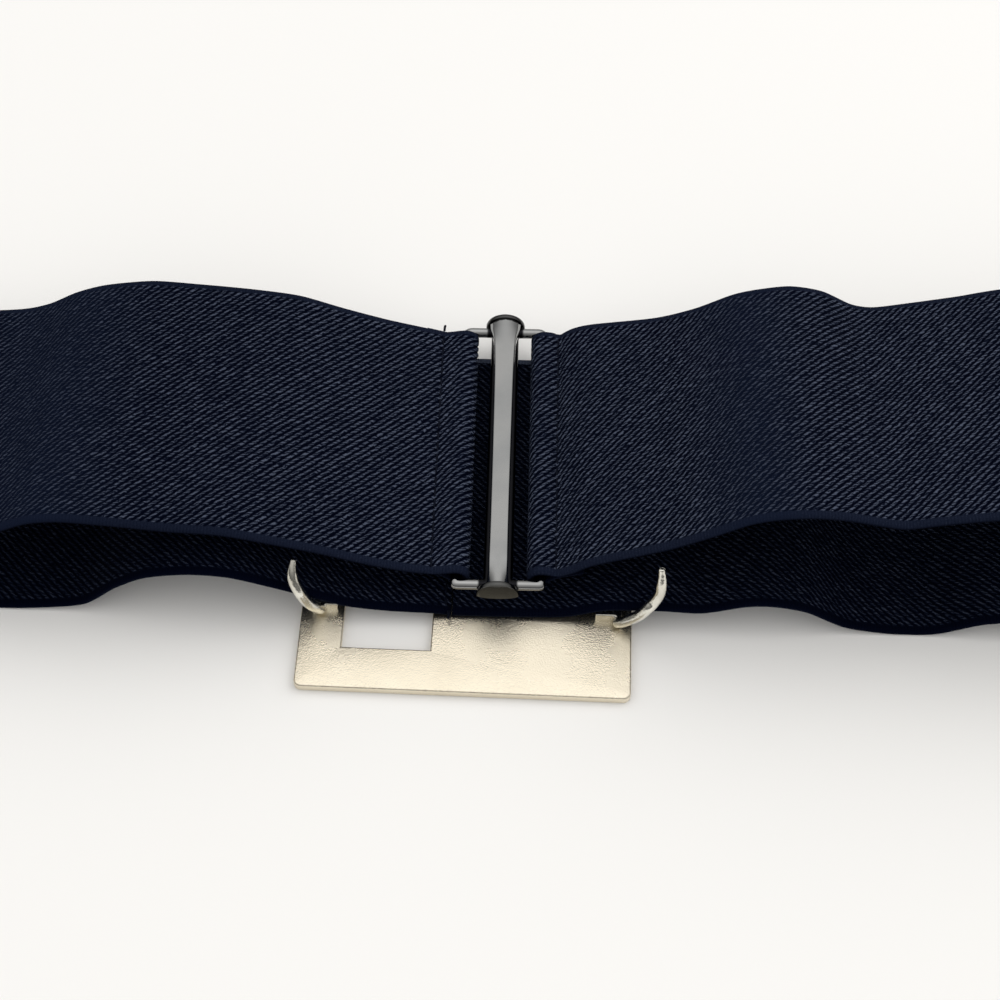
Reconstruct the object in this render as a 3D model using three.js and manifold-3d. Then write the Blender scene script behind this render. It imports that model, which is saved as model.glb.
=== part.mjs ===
// Elastic stretch belt: a closed loop of wide twill elastic, flattened on a table in two layers.
// Millimetres. +X runs along the belt, +Y to its far side and +Z up.
// The origin is under the middle of the metal plate, on the face that the plate lies on.
import * as THREE from "three";
import { mergeVertices } from "three/addons/utils/BufferGeometryUtils.js";
import Module from "manifold-3d";

const wasm = await Module();
wasm.setup();
const degree = Math.PI / 180;

// Air between neighbouring pieces
const pieceGap = 0.3;

// Elastic
const bandWidth = 60;
const bandThick = 1.3;
const loopReach = 155; // from the clasp's middle to either end of the flattened loop
const upperRise = 21; // the upper run's highest crest above the straps at the clasp
const lowerRise = 13; // the lower run's highest hump above what carries it
const upperShift = 4.3; // the upper run lies this far behind the lower one
const lowerTurn = 0.6; // degrees that the lower run is turned, its right side nearer
const seamPlace = -8.6; // where the two lengths of elastic meet, from the clasp's middle line

// Strap ends
const foldEdge = 5.3; // from the clasp's middle line to each strap's fold
const foldToStitch = 6.3; // from a fold to its line of stitches
const tailPastStitch = 4.3; // what the turned-back tail runs on past the stitches
const tailRise = 1; // each tail slopes up by this much from the fold to its end
const tailTuck = { left: 2, right: 1.6 }; // and its end was sewn down this much further back

// Clasp
const wireDiameter = 2;
const loopCorner = 1.2; // radius of a wire loop's corners, on the wire's centre line
const claspLift = 1.5; // air between the straps' folds and the lower run below them
const claspTilt = 2.3; // degrees, its far end lower
const webThick = 0.9; // the clasp's upright web between the two wires
const flangeThick = 0.7;
const flangeWidth = 4;
const barTop = 1.7; // how thick the bar is above the wires, at its ends
const capWidth = 7.9;
const capThick = 1;
const capRise = 0.4; // how far the end caps stand above the bar
const capDrop = 0.3; // how far their corners reach below the wires' middle
const capSag = 0.9; // and how much lower the middle of their lower edge bulges

// Plate, turned on the table with its right side nearer
const plateLength = 62;
const plateHeight = 35;
const plateThick = 1.8;
const plateCorner = 1.4;
const plateTurn = 1.3; // degrees
const platePlace = -5.8; // its middle, from the clasp's middle line
const plateInset = 1.6; // its middle line lies this far inside the lower run's near edge
const windowWidth = 16.6;
const windowSide = 8.1; // from the plate's left end to its window
const windowRim = 8.7; // from the plate's long edges to its window

// Hooks on the plate's back
const hookDiameter = 1.9;
const hookTip = 0.56; // share of its thickness that a hook keeps at its tip
const hookTaper = 0.78; // share of its length where it starts to thin
const hookReach = 8;
const hookBack = 3.9;
const hookRise = 14;
const bossLength = 4.9;
const bossDepth = 3.2;
const bossRise = 2.2;
const bossInset = 2; // from the plate's end to a boss
const bossBack = 2.05; // its front lies this far behind the hooks' foremost stretch

// Upper run, outwards from the clasp: shares of loopReach, and of upperRise above the strap there.
const upperRows = {
  left: [
    { along: 0.105, near: 0.055, far: 0.085 },
    { along: 0.155, near: 0.16, far: 0.2 },
    { along: 0.21, near: 0.315, far: 0.355 },
    { along: 0.265, near: 0.445, far: 0.525 },
    { along: 0.325, near: 0.57, far: 0.605 },
    { along: 0.39, near: 0.615, far: 0.66 },
    { along: 0.45, near: 0.68, far: 0.695 },
    { along: 0.51, near: 0.73, far: 0.625 },
    { along: 0.55, near: 0.69, far: 0.51 },
    { along: 0.59, near: 0.545, far: 0.335 },
    { along: 0.635, near: 0.4, far: 0.245 },
    { along: 0.75, near: 0.28, far: 0.23 },
    { along: 0.89, near: 0.38, far: 0.375 },
  ],
  right: [
    { along: 0.09, near: 0.09, far: 0.12 },
    { along: 0.115, near: 0.225, far: 0.185 },
    { along: 0.195, near: 0.475, far: 0.295 },
    { along: 0.245, near: 0.685, far: 0.445 },
    { along: 0.29, near: 0.9, far: 0.65 },
    { along: 0.32, near: 0.975, far: 0.73 },
    { along: 0.36, near: 1.01, far: 0.785 },
    { along: 0.4, near: 0.985, far: 0.725 },
    { along: 0.44, near: 0.915, far: 0.545 },
    { along: 0.47, near: 0.88, far: 0.505 },
    { along: 0.515, near: 0.96, far: 0.575 },
    { along: 0.57, near: 1.035, far: 0.675 },
    { along: 0.645, near: 1.09, far: 0.825 },
    { along: 0.78, near: 1.0, far: 0.9 },
    { along: 0.89, near: 0.9, far: 0.95 },
  ],
};

// Lower run, outwards: shares of loopReach, of the plate under it, and of lowerRise above that.
const lowerRows = {
  left: [
    { along: 0.08, onPlate: 1, near: 0.04, far: 0 },
    { along: 0.13, onPlate: 1, near: 0.065, far: 0.02 },
    { along: 0.18, onPlate: 1, near: 0.155, far: 0.065 },
    { along: 0.215, onPlate: 1, near: 0.325, far: 0.175 },
    { along: 0.27, onPlate: 0.5, near: 0.69, far: 0.45 },
    { along: 0.32, onPlate: 0, near: 0.99, far: 0.68 },
    { along: 0.37, onPlate: 0, near: 1.03, far: 0.7 },
    { along: 0.42, onPlate: 0, near: 0.91, far: 0.565 },
    { along: 0.46, onPlate: 0, near: 0.61, far: 0.35 },
    { along: 0.5, onPlate: 0, near: 0.18, far: 0.12 },
    { along: 0.545, onPlate: 0, near: 0.055, far: 0.02 },
    { along: 0.61, onPlate: 0, near: 0, far: 0 },
    { along: 0.77, onPlate: 0, near: 0, far: 0 },
    { along: 0.89, onPlate: 0, near: 0, far: 0 },
  ],
  right: [
    { along: 0, onPlate: 1, near: 0, far: 0 },
    { along: 0.08, onPlate: 1, near: 0.045, far: 0 },
    { along: 0.13, onPlate: 1, near: 0.25, far: 0.065 },
    { along: 0.195, onPlate: 1, near: 0.275, far: 0.12 },
    { along: 0.245, onPlate: 0.6, near: 0.315, far: 0.2 },
    { along: 0.295, onPlate: 0, near: 0.61, far: 0.37 },
    { along: 0.33, onPlate: 0, near: 0.635, far: 0.41 },
    { along: 0.37, onPlate: 0, near: 0.51, far: 0.33 },
    { along: 0.42, onPlate: 0, near: 0.135, far: 0.12 },
    { along: 0.48, onPlate: 0, near: 0, far: 0 },
    { along: 0.53, onPlate: 0, near: 0.04, far: 0.01 },
    { along: 0.585, onPlate: 0, near: 0.34, far: 0.14 },
    { along: 0.66, onPlate: 0, near: 0.41, far: 0.18 },
    { along: 0.77, onPlate: 0, near: 0.1, far: 0.04 },
    { along: 0.89, onPlate: 0, near: 0, far: 0 },
  ],
};

// Clasp bar, from its near end to its far one: shares of its half length, cap width and height.
const barRows = [
  { along: -1, wide: 0.64, rise: 1 },
  { along: -0.965, wide: 0.53, rise: 0.94 },
  { along: -0.9, wide: 0.48, rise: 0.89 },
  { along: -0.75, wide: 0.465, rise: 0.88 },
  { along: -0.5, wide: 0.46, rise: 0.88 },
  { along: 0, wide: 0.475, rise: 0.88 },
  { along: 0.3, wide: 0.49, rise: 0.88 },
  { along: 0.6, wide: 0.51, rise: 0.89 },
  { along: 0.785, wide: 0.56, rise: 0.91 },
  { along: 0.86, wide: 0.63, rise: 0.94 },
  { along: 0.93, wide: 0.735, rise: 0.98 },
  { along: 1, wide: 0.79, rise: 1 },
];
const archFrom = 0.78; // share of the bar's half length where its flat face starts to arch
const archDepth = 0.9; // how far its edges have sunk at its ends

// Section of the bar, a flat face with rounded sides: shares of its half width and height.
const barSection = [
  { side: -1, up: 0 },
  { side: -1, up: 0.55 },
  { side: -0.94, up: 0.84 },
  { side: -0.8, up: 1 },
  { side: -0.4, up: 1 },
  { side: 0, up: 1 },
  { side: 0.4, up: 1 },
  { side: 0.8, up: 1 },
  { side: 0.94, up: 0.84 },
  { side: 1, up: 0.55 },
  { side: 1, up: 0 },
];

// Hooks, from the boss to the tip: shares of hookReach out from the boss's middle, of hookBack behind
// the foremost stretch and of hookRise above the plate.
const hookRows = {
  left: [
    { out: 0.09, back: 0.43, up: 0.07 },
    { out: 0.225, back: 0.1, up: 0.29 },
    { out: 0.33, back: 0, up: 0.42 },
    { out: 0.43, back: 0, up: 0.55 },
    { out: 0.51, back: 0.06, up: 0.665 },
    { out: 0.625, back: 0.33, up: 0.81 },
    { out: 0.65, back: 0.64, up: 0.945 },
    { out: 0.62, back: 0.95, up: 1.03 },
  ],
  right: [
    { out: 0.19, back: 0.34, up: 0.07 },
    { out: 0.375, back: 0.185, up: 0.18 },
    { out: 0.7, back: 0.15, up: 0.365 },
    { out: 0.89, back: 0.22, up: 0.52 },
    { out: 1.01, back: 0.36, up: 0.61 },
    { out: 1.125, back: 0.49, up: 0.765 },
    { out: 1.15, back: 0.63, up: 0.905 },
    { out: 1.15, back: 0.81, up: 1.035 },
    { out: 1.125, back: 0.98, up: 1.15 },
  ],
};

// How finely curved things are divided
const foldSteps = 8;
const rowSteps = 3;
const turnAngles = [45, 0, -45];
const acrossSteps = 2;
const cornerSteps = 4;
const wireSides = 8;
const hookSteps = 14;
const capSteps = 12;
const barSteps = 27;

// Heights and places that follow from the sizes above
const wireRadius = wireDiameter / 2;
const halfBand = bandWidth / 2;
const foldRadius = wireRadius + pieceGap + bandThick / 2;
const wireOffset = foldEdge + bandThick / 2 + foldRadius;
const innerWireOffset = webThick / 2 + pieceGap + wireRadius;
const stitchOffset = foldEdge + foldToStitch;
const tailOffset = stitchOffset + tailPastStitch;
const stitchRise = tailRise * foldToStitch / (foldToStitch + tailPastStitch);
const plyOffset = (bandThick + pieceGap) / 2;
const overPlate = plateThick + pieceGap;
const claspHeight = overPlate + bandThick + claspLift + foldRadius + bandThick / 2;
const loopHalfLength = halfBand + pieceGap + wireRadius;
const capFace = loopHalfLength + wireRadius + pieceGap;
const barUnderside = wireRadius + pieceGap;
const hookRadius = hookDiameter / 2;
const plateMiddle = plateInset - halfBand;
const hookSpan = plateLength / 2 - bossInset - bossLength / 2;
const turnAllowance = hookSpan * Math.tan((plateTurn - lowerTurn) * degree);
const hookFront = plateInset + hookRadius + pieceGap + turnAllowance;

function cleaned(geometry) {
  geometry.deleteAttribute("normal");
  geometry.deleteAttribute("uv");
  return mergeVertices(geometry, 1e-5);
}

function toSolid(geometry) {
  const merged = cleaned(geometry);
  const vertProperties = new Float32Array(merged.attributes.position.array);
  const triVerts = new Uint32Array(merged.index.array);
  return new wasm.Manifold(new wasm.Mesh({ numProp: 3, vertProperties, triVerts }));
}

function fromSolid(solid) {
  const mesh = solid.getMesh();
  const geometry = new THREE.BufferGeometry();
  geometry.setAttribute("position", new THREE.BufferAttribute(mesh.vertProperties, 3));
  geometry.setIndex(new THREE.BufferAttribute(mesh.triVerts, 1));
  return geometry;
}

// Moves each vertex of a geometry to the place that a function gives for it.
function reshaped(geometry, place) {
  const position = geometry.attributes.position;
  const vertex = new THREE.Vector3();
  for (let i = 0; i < position.count; i += 1) {
    vertex.fromBufferAttribute(position, i);
    const moved = place(vertex);
    position.setXYZ(i, moved.x, moved.y, moved.z);
  }
  return geometry;
}

// A rectangular bar of metal between two corners
function block(low, high) {
  const size = high.clone().sub(low);
  const middle = low.clone().add(high).multiplyScalar(0.5);
  return new THREE.BoxGeometry(size.x, size.y, size.z).translate(middle.x, middle.y, middle.z);
}

function finish(color, roughness, metalness) {
  return new THREE.MeshStandardMaterial({ color, roughness, metalness });
}

function part(name, geometry, material) {
  const shaded = cleaned(geometry.index ? geometry : mergeVertices(geometry));
  shaded.computeVertexNormals();
  const mesh = new THREE.Mesh(shaded, material);
  mesh.name = name;
  return mesh;
}

// How far back the band's near edge lies from its place in the lower run
function backOf(along, isUpper) {
  const half = THREE.MathUtils.smoothstep(along, 0.6, 1) / 2;
  return upperShift * (isUpper ? 1 - half : half);
}

// Where one edge of the band runs: edge is -1 for the near edge and 1 for the far one.
function edgePoint(side, edge, offset, height, isUpper) {
  const x = side * offset;
  const back = backOf(offset / loopReach, isUpper);
  const turned = isUpper ? 0 : -x * Math.tan(lowerTurn * degree);
  return new THREE.Vector3(x, edge * halfBand + back + turned, height);
}

function wireHeight(edge) {
  return claspHeight - edge * halfBand * Math.tan(claspTilt * degree);
}

// How far along a strap's end a place lies, from its fold at 0 to the end of its tail at 1
function endShare(offset) {
  return Math.max(offset - foldEdge, 0) / (tailOffset - foldEdge);
}

// The strap's end: its tail, the fold round the wire and the stitched stretch above
function foldStations(side, edge, sideName) {
  const height = wireHeight(edge);
  const place = (offset, rise) => edgePoint(side, edge, offset, height + rise, true);
  const placeTail = (offset, drop) => {
    const point = place(offset, tailRise * endShare(offset) - drop);
    point.y += tailTuck[sideName] * endShare(offset);
    return point;
  };
  const stations = [placeTail(tailOffset, plyOffset), placeTail(stitchOffset, plyOffset)];
  const easing = (share) => {
    const offset = THREE.MathUtils.lerp(stitchOffset, wireOffset, share);
    const fromPly = THREE.MathUtils.smoothstep(share, 0, 1);
    return { offset, fromPly, drop: THREE.MathUtils.lerp(plyOffset, foldRadius, fromPly) };
  };
  const shares = [0.3, 0.6, 0.85];
  for (const share of shares) {
    const { offset, drop } = easing(share);
    stations.push(placeTail(offset, drop));
  }
  for (let step = 0; step <= foldSteps; step += 1) {
    const angle = Math.PI * (-0.5 - step / foldSteps);
    stations.push(place(wireOffset + foldRadius * Math.cos(angle), foldRadius * Math.sin(angle)));
  }
  for (const share of shares.slice().reverse()) {
    const { offset, fromPly, drop } = easing(share);
    stations.push(place(offset, drop + (1 - fromPly) * stitchRise));
  }
  return stations;
}

// The rest of one edge: upper run, end turn and lower run as far as the seam
function runStations(side, edge, sideName) {
  const column = edge < 0 ? "near" : "far";
  const strapHeight = wireHeight(edge) + plyOffset;
  const points = [edgePoint(side, edge, stitchOffset, strapHeight + stitchRise, true)];
  for (const row of upperRows[sideName]) {
    const height = strapHeight + row[column] * upperRise;
    points.push(edgePoint(side, edge, row.along * loopReach, height, true));
  }
  const lower = lowerRows[sideName].map((row) => {
    const height = bandThick / 2 + row.onPlate * overPlate + row[column] * lowerRise;
    return edgePoint(side, edge, row.along * loopReach, height, false);
  });
  lower.reverse();
  const top = points[points.length - 1];
  const bottom = lower[0];
  const middle = top.clone().add(bottom).multiplyScalar(0.5);
  const depth = (top.z - bottom.z) / 2;
  const length = loopReach - Math.abs(middle.x) - bandThick / 2;
  for (const angle of turnAngles) {
    const y = THREE.MathUtils.lerp(top.y, bottom.y, (90 - angle) / 180);
    const x = middle.x + side * length * Math.cos(angle * degree);
    points.push(new THREE.Vector3(x, y, middle.z + depth * Math.sin(angle * degree)));
  }
  points.push(...lower);
  const seamOffset = side * seamPlace + pieceGap / 2;
  points.push(edgePoint(side, edge, seamOffset, bandThick / 2 + overPlate, false));
  const curve = new THREE.CatmullRomCurve3(points, false, "catmullrom", 0.4);
  const stations = curve.getPoints((points.length - 1) * rowSteps);
  for (const station of stations) {
    station.z = Math.max(station.z, bandThick / 2);
  }
  return stations;
}

// One length of elastic, a wall of even thickness through the stations of its two edges
function bandGeometry(side, sideName) {
  const edges = [-1, 1].map((edge) => [
    ...foldStations(side, edge, sideName),
    ...runStations(side, edge, sideName),
  ]);
  const last = edges[0].length - 1;
  const middlePoint = (step, across) => edges[0][step].clone().lerp(edges[1][step], across);
  const place = (vertex) => {
    const step = Math.round((vertex.x + 0.5) * last);
    const across = vertex.y + 0.5;
    const before = middlePoint(Math.max(step - 1, 0), across);
    const after = middlePoint(Math.min(step + 1, last), across);
    const crosswise = edges[1][step].clone().sub(edges[0][step]);
    const normal = after.sub(before).cross(crosswise).normalize();
    return middlePoint(step, across).addScaledVector(normal, side * vertex.z * bandThick);
  };
  const sheet = new THREE.BoxGeometry(1, 1, 1, last, acrossSteps, 1);
  if (side < 0) {
    return flipped(reshaped(sheet, place));
  }
  return reshaped(sheet, place);
}

// Turns the faces of a geometry round, for one that was built mirrored
function flipped(geometry) {
  const index = geometry.index.array;
  for (let i = 0; i < index.length; i += 3) {
    [index[i], index[i + 1]] = [index[i + 1], index[i]];
  }
  return geometry;
}

// A rectangular ring of wire with round corners, between two offsets from the clasp's middle line
function loopGeometry(side) {
  const halfWidth = (wireOffset - innerWireOffset) / 2;
  const middle = side * (wireOffset + innerWireOffset) / 2;
  const stations = [];
  for (let corner = 0; corner < 4; corner += 1) {
    const signX = corner === 0 || corner === 3 ? 1 : -1;
    const signY = corner < 2 ? 1 : -1;
    const centre = new THREE.Vector3(signX * (halfWidth - loopCorner), signY * (loopHalfLength - loopCorner), 0);
    for (let step = 0; step <= cornerSteps; step += 1) {
      const angle = (corner + step / cornerSteps) * Math.PI / 2;
      const outward = new THREE.Vector3(Math.cos(angle), Math.sin(angle), 0);
      stations.push({ centre, outward });
    }
  }
  const ring = new THREE.TorusGeometry(10, wireRadius, wireSides, stations.length);
  return reshaped(ring, (vertex) => {
    const turn = Math.atan2(vertex.y, vertex.x) / (2 * Math.PI);
    const station = stations[Math.round((turn + 1) * stations.length) % stations.length];
    const proud = Math.hypot(vertex.x, vertex.y) - 10;
    const moved = station.centre.clone().addScaledVector(station.outward, loopCorner + proud);
    moved.x += middle;
    moved.z += vertex.z;
    return moved;
  });
}

// The bar over the wires: one section drawn along its length, wider and higher to its ends
function barGeometry() {
  const rows = barRows.map((row) => new THREE.Vector3(row.along, row.wide, row.rise));
  const curve = new THREE.CatmullRomCurve3(rows, false, "catmullrom", 0.4);
  const outline = new THREE.Shape(barSection.map((point) => new THREE.Vector2(point.side, point.up)));
  const drawn = new THREE.ExtrudeGeometry(outline, { depth: 1, steps: barSteps, bevelEnabled: false });
  return reshaped(drawn, (vertex) => {
    const row = curve.getPoint(vertex.z);
    const overlap = capThick / 2;
    const arch = archDepth * THREE.MathUtils.smoothstep(Math.abs(row.x), archFrom, 1);
    const sunk = 1 - arch * vertex.x * vertex.x;
    return new THREE.Vector3(
      -vertex.x * row.y * capWidth / 2,
      row.x * (capFace + overlap),
      barUnderside + vertex.y * row.z * barTop * sunk,
    );
  });
}

// A half-moon cap, upright at one end of the bar: end is -1 for the near one and 1 for the far one
function capGeometry(end) {
  const height = barUnderside + barTop + capRise + capDrop;
  const outline = new THREE.Shape();
  outline.moveTo(-capWidth / 2, 0);
  outline.absellipse(0, 0, capWidth / 2, capSag, Math.PI, 2 * Math.PI, false);
  outline.absellipse(0, 0, capWidth / 2, height, 0, Math.PI, false);
  const options = { depth: capThick, bevelEnabled: false, curveSegments: capSteps };
  const cap = new THREE.ExtrudeGeometry(outline, options).rotateX(Math.PI / 2);
  return cap.translate(0, end > 0 ? capFace + capThick : -capFace, -capDrop);
}

function claspBarGeometry() {
  const flangeTop = -barUnderside;
  const web = block(
    new THREE.Vector3(-webThick / 2, -capFace - capThick / 2, flangeTop - flangeThick / 2),
    new THREE.Vector3(webThick / 2, capFace + capThick / 2, barUnderside + barTop / 2),
  );
  const flange = block(
    new THREE.Vector3(-flangeWidth / 2, -capFace, flangeTop - flangeThick),
    new THREE.Vector3(flangeWidth / 2, capFace, flangeTop),
  );
  const pieces = [web, flange, capGeometry(-1), capGeometry(1)];
  const joined = pieces.reduce((solid, piece) => solid.add(toSolid(piece)), toSolid(barGeometry()));
  return fromSolid(joined);
}

// One hook: a round wire along a curve, thinner towards its tip
function hookGeometry(side, sideName) {
  const root = new THREE.Vector3(side * hookSpan, -hookFront, plateThick);
  const points = hookRows[sideName].map((row) => new THREE.Vector3(
    root.x + side * row.out * hookReach,
    root.y + row.back * hookBack,
    root.z + row.up * hookRise,
  ));
  const curve = new THREE.CatmullRomCurve3(points);
  const frames = curve.computeFrenetFrames(hookSteps, false);
  const wire = new THREE.CylinderGeometry(1, 1, 1, wireSides, hookSteps);
  return reshaped(wire, (vertex) => {
    const share = vertex.y + 0.5;
    const step = Math.round(share * hookSteps);
    const thinned = THREE.MathUtils.smoothstep(share, hookTaper, 1);
    const radius = hookRadius * THREE.MathUtils.lerp(1, hookTip, thinned);
    const moved = curve.getPointAt(share);
    moved.addScaledVector(frames.normals[step], vertex.z * radius);
    moved.addScaledVector(frames.binormals[step], vertex.x * radius);
    return moved;
  });
}

// Where a hook is soldered on: a low block on the plate's back, near one end
function bossGeometry(side) {
  const front = bossBack - hookFront;
  const low = new THREE.Vector3(side * hookSpan - bossLength / 2, front, plateThick / 2);
  const high = new THREE.Vector3(
    side * hookSpan + bossLength / 2,
    front + bossDepth,
    plateThick + bossRise,
  );
  return block(low, high);
}

function roundedRectangle(width, height, radius) {
  const right = width / 2 - radius;
  const top = height / 2 - radius;
  const outline = new THREE.Shape();
  outline.absarc(right, top, radius, 0, Math.PI / 2, false);
  outline.absarc(-right, top, radius, Math.PI / 2, Math.PI, false);
  outline.absarc(-right, -top, radius, Math.PI, 1.5 * Math.PI, false);
  outline.absarc(right, -top, radius, 1.5 * Math.PI, 2 * Math.PI, false);
  return outline;
}

function plateGeometry() {
  const outline = roundedRectangle(plateLength, plateHeight, plateCorner);
  const left = windowSide - plateLength / 2;
  const top = plateHeight / 2 - windowRim;
  outline.holes.push(new THREE.Path([
    new THREE.Vector2(left, -top),
    new THREE.Vector2(left, top),
    new THREE.Vector2(left + windowWidth, top),
    new THREE.Vector2(left + windowWidth, -top),
  ]));
  const options = { depth: plateThick, bevelEnabled: false, curveSegments: cornerSteps };
  let solid = toSolid(new THREE.ExtrudeGeometry(outline, options));
  for (const [side, sideName] of [[-1, "left"], [1, "right"]]) {
    solid = solid.add(toSolid(bossGeometry(side))).add(toSolid(hookGeometry(side, sideName)));
  }
  return fromSolid(solid);
}

const cloth = finish(0x1b2130, 0.85, 0);
const gunmetal = finish(0x7d7f82, 0.2, 1);
const nickel = finish(0xd9cfb8, 0.35, 1);

const clasp = new THREE.Group();
clasp.add(part("clasp_bar", claspBarGeometry(), gunmetal.clone()));
clasp.add(part("clasp_loop_left", loopGeometry(-1), gunmetal.clone()));
clasp.add(part("clasp_loop_right", loopGeometry(1), gunmetal.clone()));
clasp.position.set(0, upperShift, claspHeight);
clasp.rotation.x = -claspTilt * degree;

const plate = part("buckle_plate", plateGeometry(), nickel);
plate.position.set(platePlace, plateMiddle, 0);
plate.rotation.z = -plateTurn * degree;

const group = new THREE.Group();
group.add(part("band_left", bandGeometry(-1, "left"), cloth.clone()));
group.add(part("band_right", bandGeometry(1, "right"), cloth.clone()));
group.add(clasp, plate);
group.position.set(-platePlace, -plateMiddle, 0);
group.updateMatrixWorld(true);

export default group;
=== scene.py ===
# %% [markdown]
# # An elastic stretch belt with a bar clasp
# The belt lies on a pale table as a closed loop of two layers. Its elastic runs from the clasp out to
# both ends of the loop and comes back underneath, where the two lengths meet in a seam on top of the
# metal buckle plate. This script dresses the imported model: the frame gives the places and the sizes,
# and each piece below gets its weave, its stitches or its plating.

import math

import bmesh
import bpy
import numpy as np
from mathutils import Matrix, Vector


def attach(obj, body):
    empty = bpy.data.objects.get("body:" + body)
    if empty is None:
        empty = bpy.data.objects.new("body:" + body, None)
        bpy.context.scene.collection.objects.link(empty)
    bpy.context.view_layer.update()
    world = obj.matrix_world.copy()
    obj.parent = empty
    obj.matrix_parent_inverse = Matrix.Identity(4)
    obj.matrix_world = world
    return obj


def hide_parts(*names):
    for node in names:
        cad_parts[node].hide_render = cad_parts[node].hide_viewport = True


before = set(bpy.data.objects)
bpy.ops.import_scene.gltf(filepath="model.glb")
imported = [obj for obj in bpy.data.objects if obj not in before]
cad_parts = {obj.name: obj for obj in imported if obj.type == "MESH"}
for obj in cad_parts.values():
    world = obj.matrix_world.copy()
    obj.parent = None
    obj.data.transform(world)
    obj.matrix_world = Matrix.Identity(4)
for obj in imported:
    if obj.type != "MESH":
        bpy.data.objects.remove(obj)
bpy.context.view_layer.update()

# %% [markdown]
# ## Camera
# The photograph was taken from about 0.4 m away, looking down on the belt at 55 degrees.
# A camera can be placed by eye, but here it is worked out from two angles, a distance and the point
# that it looks at, so that it is clear what each number does. A small turn of the camera to one side
# makes the clasp lean as it does in the photograph.

# %% Place the camera
MM = 0.001
CAMERA_RISE = math.radians(55)
CAMERA_TURN = math.radians(1.4)
CAMERA_DISTANCE = 0.398
CAMERA_TARGET = Vector((0.0056, 0.02683, 0))
FOCAL_PIXELS = 2030
IMAGE_PIXELS = 1000
SENSOR_MM = 36

backwards = Vector((
    math.sin(CAMERA_TURN) * math.cos(CAMERA_RISE),
    -math.cos(CAMERA_TURN) * math.cos(CAMERA_RISE),
    math.sin(CAMERA_RISE),
))
camera_data = bpy.data.cameras.new("camera")
camera_data.sensor_width = SENSOR_MM
camera_data.lens = FOCAL_PIXELS / IMAGE_PIXELS * SENSOR_MM
camera_data.clip_start = 0.01
camera = bpy.data.objects.new("camera", camera_data)
camera.location = CAMERA_TARGET + backwards * CAMERA_DISTANCE
camera.rotation_euler = (-backwards).to_track_quat("-Z", "Y").to_euler()
bpy.context.scene.collection.objects.link(camera)
bpy.context.scene.camera = camera
print("camera at", [round(value, 4) for value in camera.location])

# %% [markdown]
# ## Helpers
# A material and a Geometry Nodes tree are both nets of nodes, and writing them out node by node takes
# many lines. So one helper adds a node and joins its inputs, and a few more name the nodes that come
# back again and again: a soft step, a blend, a ramp, a noise and a bump. The bent pieces are all made
# from rings of points, so the faces between such rings have a helper of their own too.

# %% Helpers for nodes
def wire_up(tree, kind, operation=None, inputs=(), **settings):
    """Adds a node, sets it and joins its inputs: a number or a colour is a value, anything else a link."""
    node = tree.nodes.new(kind)
    if operation:
        node.operation = operation
    for label, value in settings.items():
        setattr(node, label, value)
    for index, source in enumerate(inputs):
        if source is None:
            continue
        if isinstance(source, (int, float, tuple)):
            node.inputs[index].default_value = source
        else:
            tree.links.new(source, node.inputs[index])
    return node.outputs[0]


def math_node(tree, operation, *inputs):
    return wire_up(tree, "ShaderNodeMath", operation, inputs)


def split(tree, vector):
    """The outputs X, Y and Z of a vector."""
    return wire_up(tree, "ShaderNodeSeparateXYZ", inputs=[vector]).node.outputs


def from_middle(tree, share):
    """A share that runs from 0 to 1, measured from its middle."""
    return math_node(tree, "SUBTRACT", share, 0.5)


def eased(tree, value, low, high):
    """0 where the value is low and 1 where it is high, with soft ends."""
    return wire_up(tree, "ShaderNodeMapRange", inputs=[value, low, high], interpolation_type="SMOOTHSTEP")


def mixed(tree, share, first, second):
    """A blend of two numbers."""
    return wire_up(tree, "ShaderNodeMix", inputs=[share, None, first, second], data_type="FLOAT")


def colour_mixed(tree, share, first, second):
    """A blend of two colours, whose sockets are the seventh and the eighth."""
    inputs = [share] + 5 * [None] + [first, second]
    return wire_up(tree, "ShaderNodeMix", inputs=inputs, data_type="RGBA").node.outputs[2]


def colour_ramp(tree, value, stops):
    """A colour ramp: each stop is a position with a grey level or a colour."""
    output = wire_up(tree, "ShaderNodeValToRGB", inputs=[value])
    ramp = output.node.color_ramp
    while len(ramp.elements) < len(stops):
        ramp.elements.new(0.5)
    for element, (position, colour) in zip(ramp.elements, stops):
        element.position = position
        element.color = (*colour, 1) if isinstance(colour, tuple) else (colour, colour, colour, 1)
    return output


def noise(tree, place, scale, detail=2.0):
    """A cloudy noise from 0 to 1, with so many clouds to a unit of length."""
    cloud = wire_up(tree, "ShaderNodeTexNoise", inputs=[place])
    cloud.node.inputs["Scale"].default_value = scale
    cloud.node.inputs["Detail"].default_value = detail
    return cloud


def object_place(tree):
    return wire_up(tree, "ShaderNodeTexCoord").node.outputs["Object"]


# %% Helpers for materials
def paint(name, **values):
    """A new material and its Principled shader, with values set on the shader's own sockets."""
    material = bpy.data.materials.new(name)
    material.use_nodes = True
    shader = material.node_tree.nodes["Principled BSDF"]
    for socket, value in values.items():
        shader.inputs[socket.replace("_", " ")].default_value = value
    return material, shader


def roughen(tree, shader, height, distance, strength=1.0):
    """Lets a height tilt the surface: the distance is in metres."""
    bump = wire_up(tree, "ShaderNodeBump")
    bump.node.inputs["Distance"].default_value = distance
    bump.node.inputs["Strength"].default_value = strength
    tree.links.new(height, bump.node.inputs["Height"])
    tree.links.new(bump, shader.inputs["Normal"])


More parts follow.
